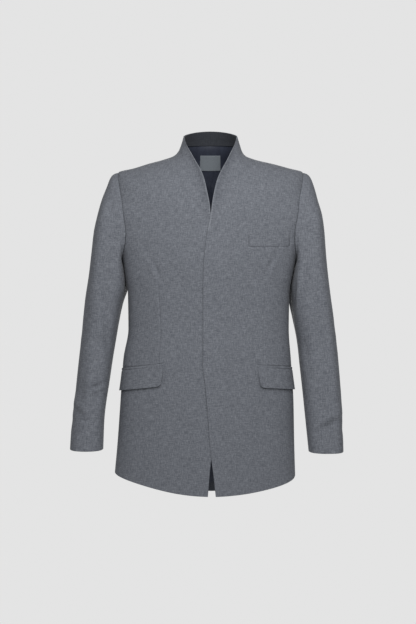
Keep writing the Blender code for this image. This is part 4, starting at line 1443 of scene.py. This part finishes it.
def sew_flap(which, side):
    start, top, stop = FLAPS[side]
    s, t = trim_grid(FLAP_LENGTH, FLAP_HEIGHT, TRIM_CELL)
    slant = turn_of(FLAP_SLANT, side * start, top) * t * (1 - s)
    turn = start + (stop - start) * s + slant
    near_front = np.clip(1 - s * FLAP_LENGTH / FLAP_CORNER, 0, 1)
    height = FLAP_HEIGHT - FLAP_CORNER * (1 - np.sqrt(1 - near_front ** 2))
    rise = pocket_line(side, s) - height * t
    out = LAYER + FLAP_STAND * t * t + FLAP_BELLY * np.sin(np.pi * s) * np.sin(np.pi * t)
    out = out - FLAP_TUCK * hill(t * height, FLAP_TUCK_REACH)
    out = out + FLAP_LIFT * hill(s * FLAP_LENGTH, FLAP_LIFT_REACH) * ease(FLAP_LIFT_SOON * t)
    insets = trim_insets(s, t, FLAP_LENGTH, height)
    node = "flap_" + which
    shell, face = sew_on_body(node, side * turn, rise, out + TRIM_CLOTH, TRIM_CLOTH, insets)
    finish_piece(shell, wool, node)


for which, side in SIDES:
    sew_flap(which, side)


# %% The chest welt, pressed thin and flat at its lower edge
WELT_CLOTH = 0.0009
WELT_PRESSED = 0.0007
WELT_PRESS_REACH = 0.005
WELT_END_TURN = 0.0015
WELT_END_TURN_REACH = 0.0024


def sew_welt():
    width = WELT_RIGHT_X - WELT_LEFT_X
    s, t = trim_grid(width, WELT_HEIGHT, TRIM_CELL)
    (low_start, low_stop), (top_start, top_stop) = WELT_CORNERS
    low = low_start + (low_stop - low_start) * s[..., None]
    top = top_start + (top_stop - top_start) * s[..., None]
    turn, rise = np.moveaxis(low + (top - low) * t[..., None], -1, 0)
    lowered = WELT_PRESSED * hill(t * WELT_HEIGHT, WELT_PRESS_REACH)
    lowered = lowered + WELT_END_TURN * hill((1 - s) * width, WELT_END_TURN_REACH)
    out = LAYER + WELT_CLOTH - lowered
    insets = trim_insets(s, t, width, WELT_HEIGHT)
    shell, face = sew_on_body("chest_welt", turn, rise, out, WELT_CLOTH, insets)
    finish_piece(shell, wool, "chest_welt")


sew_welt()

# %% [markdown]
# ## Sleeves
# A tailored sleeve has two pieces, the upper and the under sleeve, joined by two long seams, and
# is set into the armhole with a little fullness, so its head stands a trace proud of the seam.
# Rings could be bridged into a tube, but a table of cuts that starts on the armhole's own line
# meets the panels of the body without a gap.

# %% Upper and under sleeves
ARM_X, ARM_Y, ARM_Z = 0.237, -0.010, -0.174
ARM_LEAN = 0.11
ARM_ROUND = 0.055
HEAD_RIDGE = 0.0008
HEAD_AWAY = 0.0070
HEAD_REACH = 0.0045
ANGLE_STEP = 0.5
ALONG_STEP = 0.001


def arm_lengths(face, side, outer):
    """The weave of a sleeve: round the arm by weft, and down it by warp."""
    out = side * face[..., 0] - ARM_X + ARM_LEAN * (face[..., 2] - ARM_Z)
    around = np.arctan2(face[..., 1] - ARM_Y, out if outer else -out)
    return np.stack([ARM_ROUND * around, face[..., 2] - ARM_LEAN * out], axis=-1)


def sew_sleeve(node, side, start, stop, creases):
    surface = sleeve_surface(side)
    along = lines_along(0.0, SLEEVE_LENGTH)
    first = np.full(len(along), start)
    last = np.full(len(along), stop)
    angle, distance, ends = lay_out(surface, first, last, along, SEAM / 2, SEAM / 2)
    insets = panel_insets(distance, ends, along, ("sewn", "sewn", "sewn", "turned"))
    dip, roll, worn = edges_of_piece(insets, SLEEVE_CLOTH)
    base = surface(angle, along[:, None])
    inside = np.clip(along, ALONG_STEP, None)[:, None]
    normal = surface_normal(surface, angle, inside, ANGLE_STEP, ALONG_STEP) * -side
    over = ease(0.5 - np.cos(np.radians(angle)))
    ridge = HEAD_RIDGE * hill(along[:, None] - HEAD_AWAY, HEAD_REACH) * over
    out = crease_depth(base, normal, creases) + ridge
    face = base + normal * (out - dip - roll)[..., None]
    back = base + normal * (out - SLEEVE_CLOTH - dip + roll)[..., None]
    shell = sew_shell(node, face, back, worn, arm_lengths(face, side, stop > 180))
    finish_piece(shell, wool, node)


SLEEVE_CREASES = {1: LEFT_SLEEVE_CREASES, -1: RIGHT_SLEEVE_CREASES}
for which, side in SIDES:
    sew_sleeve("upper_sleeve_" + which, side, UNDER_FRONT, UNDER_BACK, SLEEVE_CREASES[side])
    sew_sleeve("under_sleeve_" + which, side, UNDER_BACK - 360, UNDER_FRONT, SLEEVE_CREASES[side])

# %% [markdown]
# ## Studio
# The coat hangs in a pale studio with one large soft light above and in front of it and even fill
# all round. Many lamps could give that fill, but a pale world gives it with no shadows of its own.
# The floor lies well below the hem. The camera stands level with the middle of the coat, six
# metres off, with a long lens, as for a catalogue picture.

# %% Floor and backdrop
FLOOR_Z = -1.30
FLOOR_RADIUS = 1.45
FLOOR_SEGMENTS = 96
PALE = (0.775, 0.775, 0.775, 1.0)
FILL = 0.335


def pale_floor():
    bm = bmesh.new()
    bmesh.ops.create_circle(bm, cap_ends=True, segments=FLOOR_SEGMENTS, radius=FLOOR_RADIUS)
    bmesh.ops.translate(bm, verts=bm.verts, vec=(0.0, 0.0, FLOOR_Z))
    floor = mesh_object("pale_floor", bm)
    finish, tree, shader = new_finish("pale_floor")
    feed(tree, shader, {"Base Color": PALE, "Roughness": 0.9})
    floor.data.materials.append(finish)


def studio_air():
    """Pale backdrop for the camera, and even fill from all round."""
    world = bpy.data.worlds.new("studio")
    world.use_nodes = True
    tree = world.node_tree
    seen = tree.nodes["Background"]
    feed(tree, seen, {"Color": PALE})
    lit = add_node(tree, "Background", {"Color": (1.0, 1.0, 1.0, 1.0), "Strength": FILL})
    ray = tree.nodes.new("ShaderNodeLightPath")
    mix = add_node(tree, "MixShader", {"Fac": ray.outputs["Is Camera Ray"],
                                       1: lit.outputs["Background"], 2: seen.outputs["Background"]})
    feed(tree, tree.nodes["World Output"], {"Surface": mix.outputs["Shader"]})
    bpy.context.scene.world = world


pale_floor()
studio_air()
print("floor at", FLOOR_Z, "m, fill of", FILL)

# %% Lights
AIM = Vector((0.0, 0.0, -0.3))


def soft_light(name, place, size, watts):
    lamp = bpy.data.lights.new(name, "AREA")
    lamp.shape = "SQUARE"
    lamp.size = size
    lamp.energy = watts
    holder = bpy.data.objects.new(name, lamp)
    holder.location = place
    holder.rotation_euler = (AIM - Vector(place)).to_track_quat("-Z", "Y").to_euler()
    holder.visible_camera = False
    bpy.context.scene.collection.objects.link(holder)
    print(f"{name}: {size} m wide, {watts} W")


soft_light("key", (0.10, -1.42, 0.55), 1.2, 24.6)
soft_light("back_light", (0.0, 2.6, 0.35), 1.6, 60.0)

# %% Camera
CAMERA_X, CAMERA_Z = -0.0059, -0.362
CAMERA_AWAY = 6.0
PICTURE_HEIGHT = 1.4664
SENSOR = 36.0
camera_data = bpy.data.cameras.new("camera")
camera_data.sensor_width = SENSOR
camera_data.lens = SENSOR * CAMERA_AWAY / PICTURE_HEIGHT
camera = bpy.data.objects.new("camera", camera_data)
camera.location = (CAMERA_X, -CAMERA_AWAY, CAMERA_Z)
camera.rotation_euler = (math.radians(90), 0.0, 0.0)
bpy.context.scene.collection.objects.link(camera)
bpy.context.scene.camera = camera
bpy.context.scene.view_settings.view_transform = "Standard"
print("lens in millimetres", round(camera_data.lens, 1))
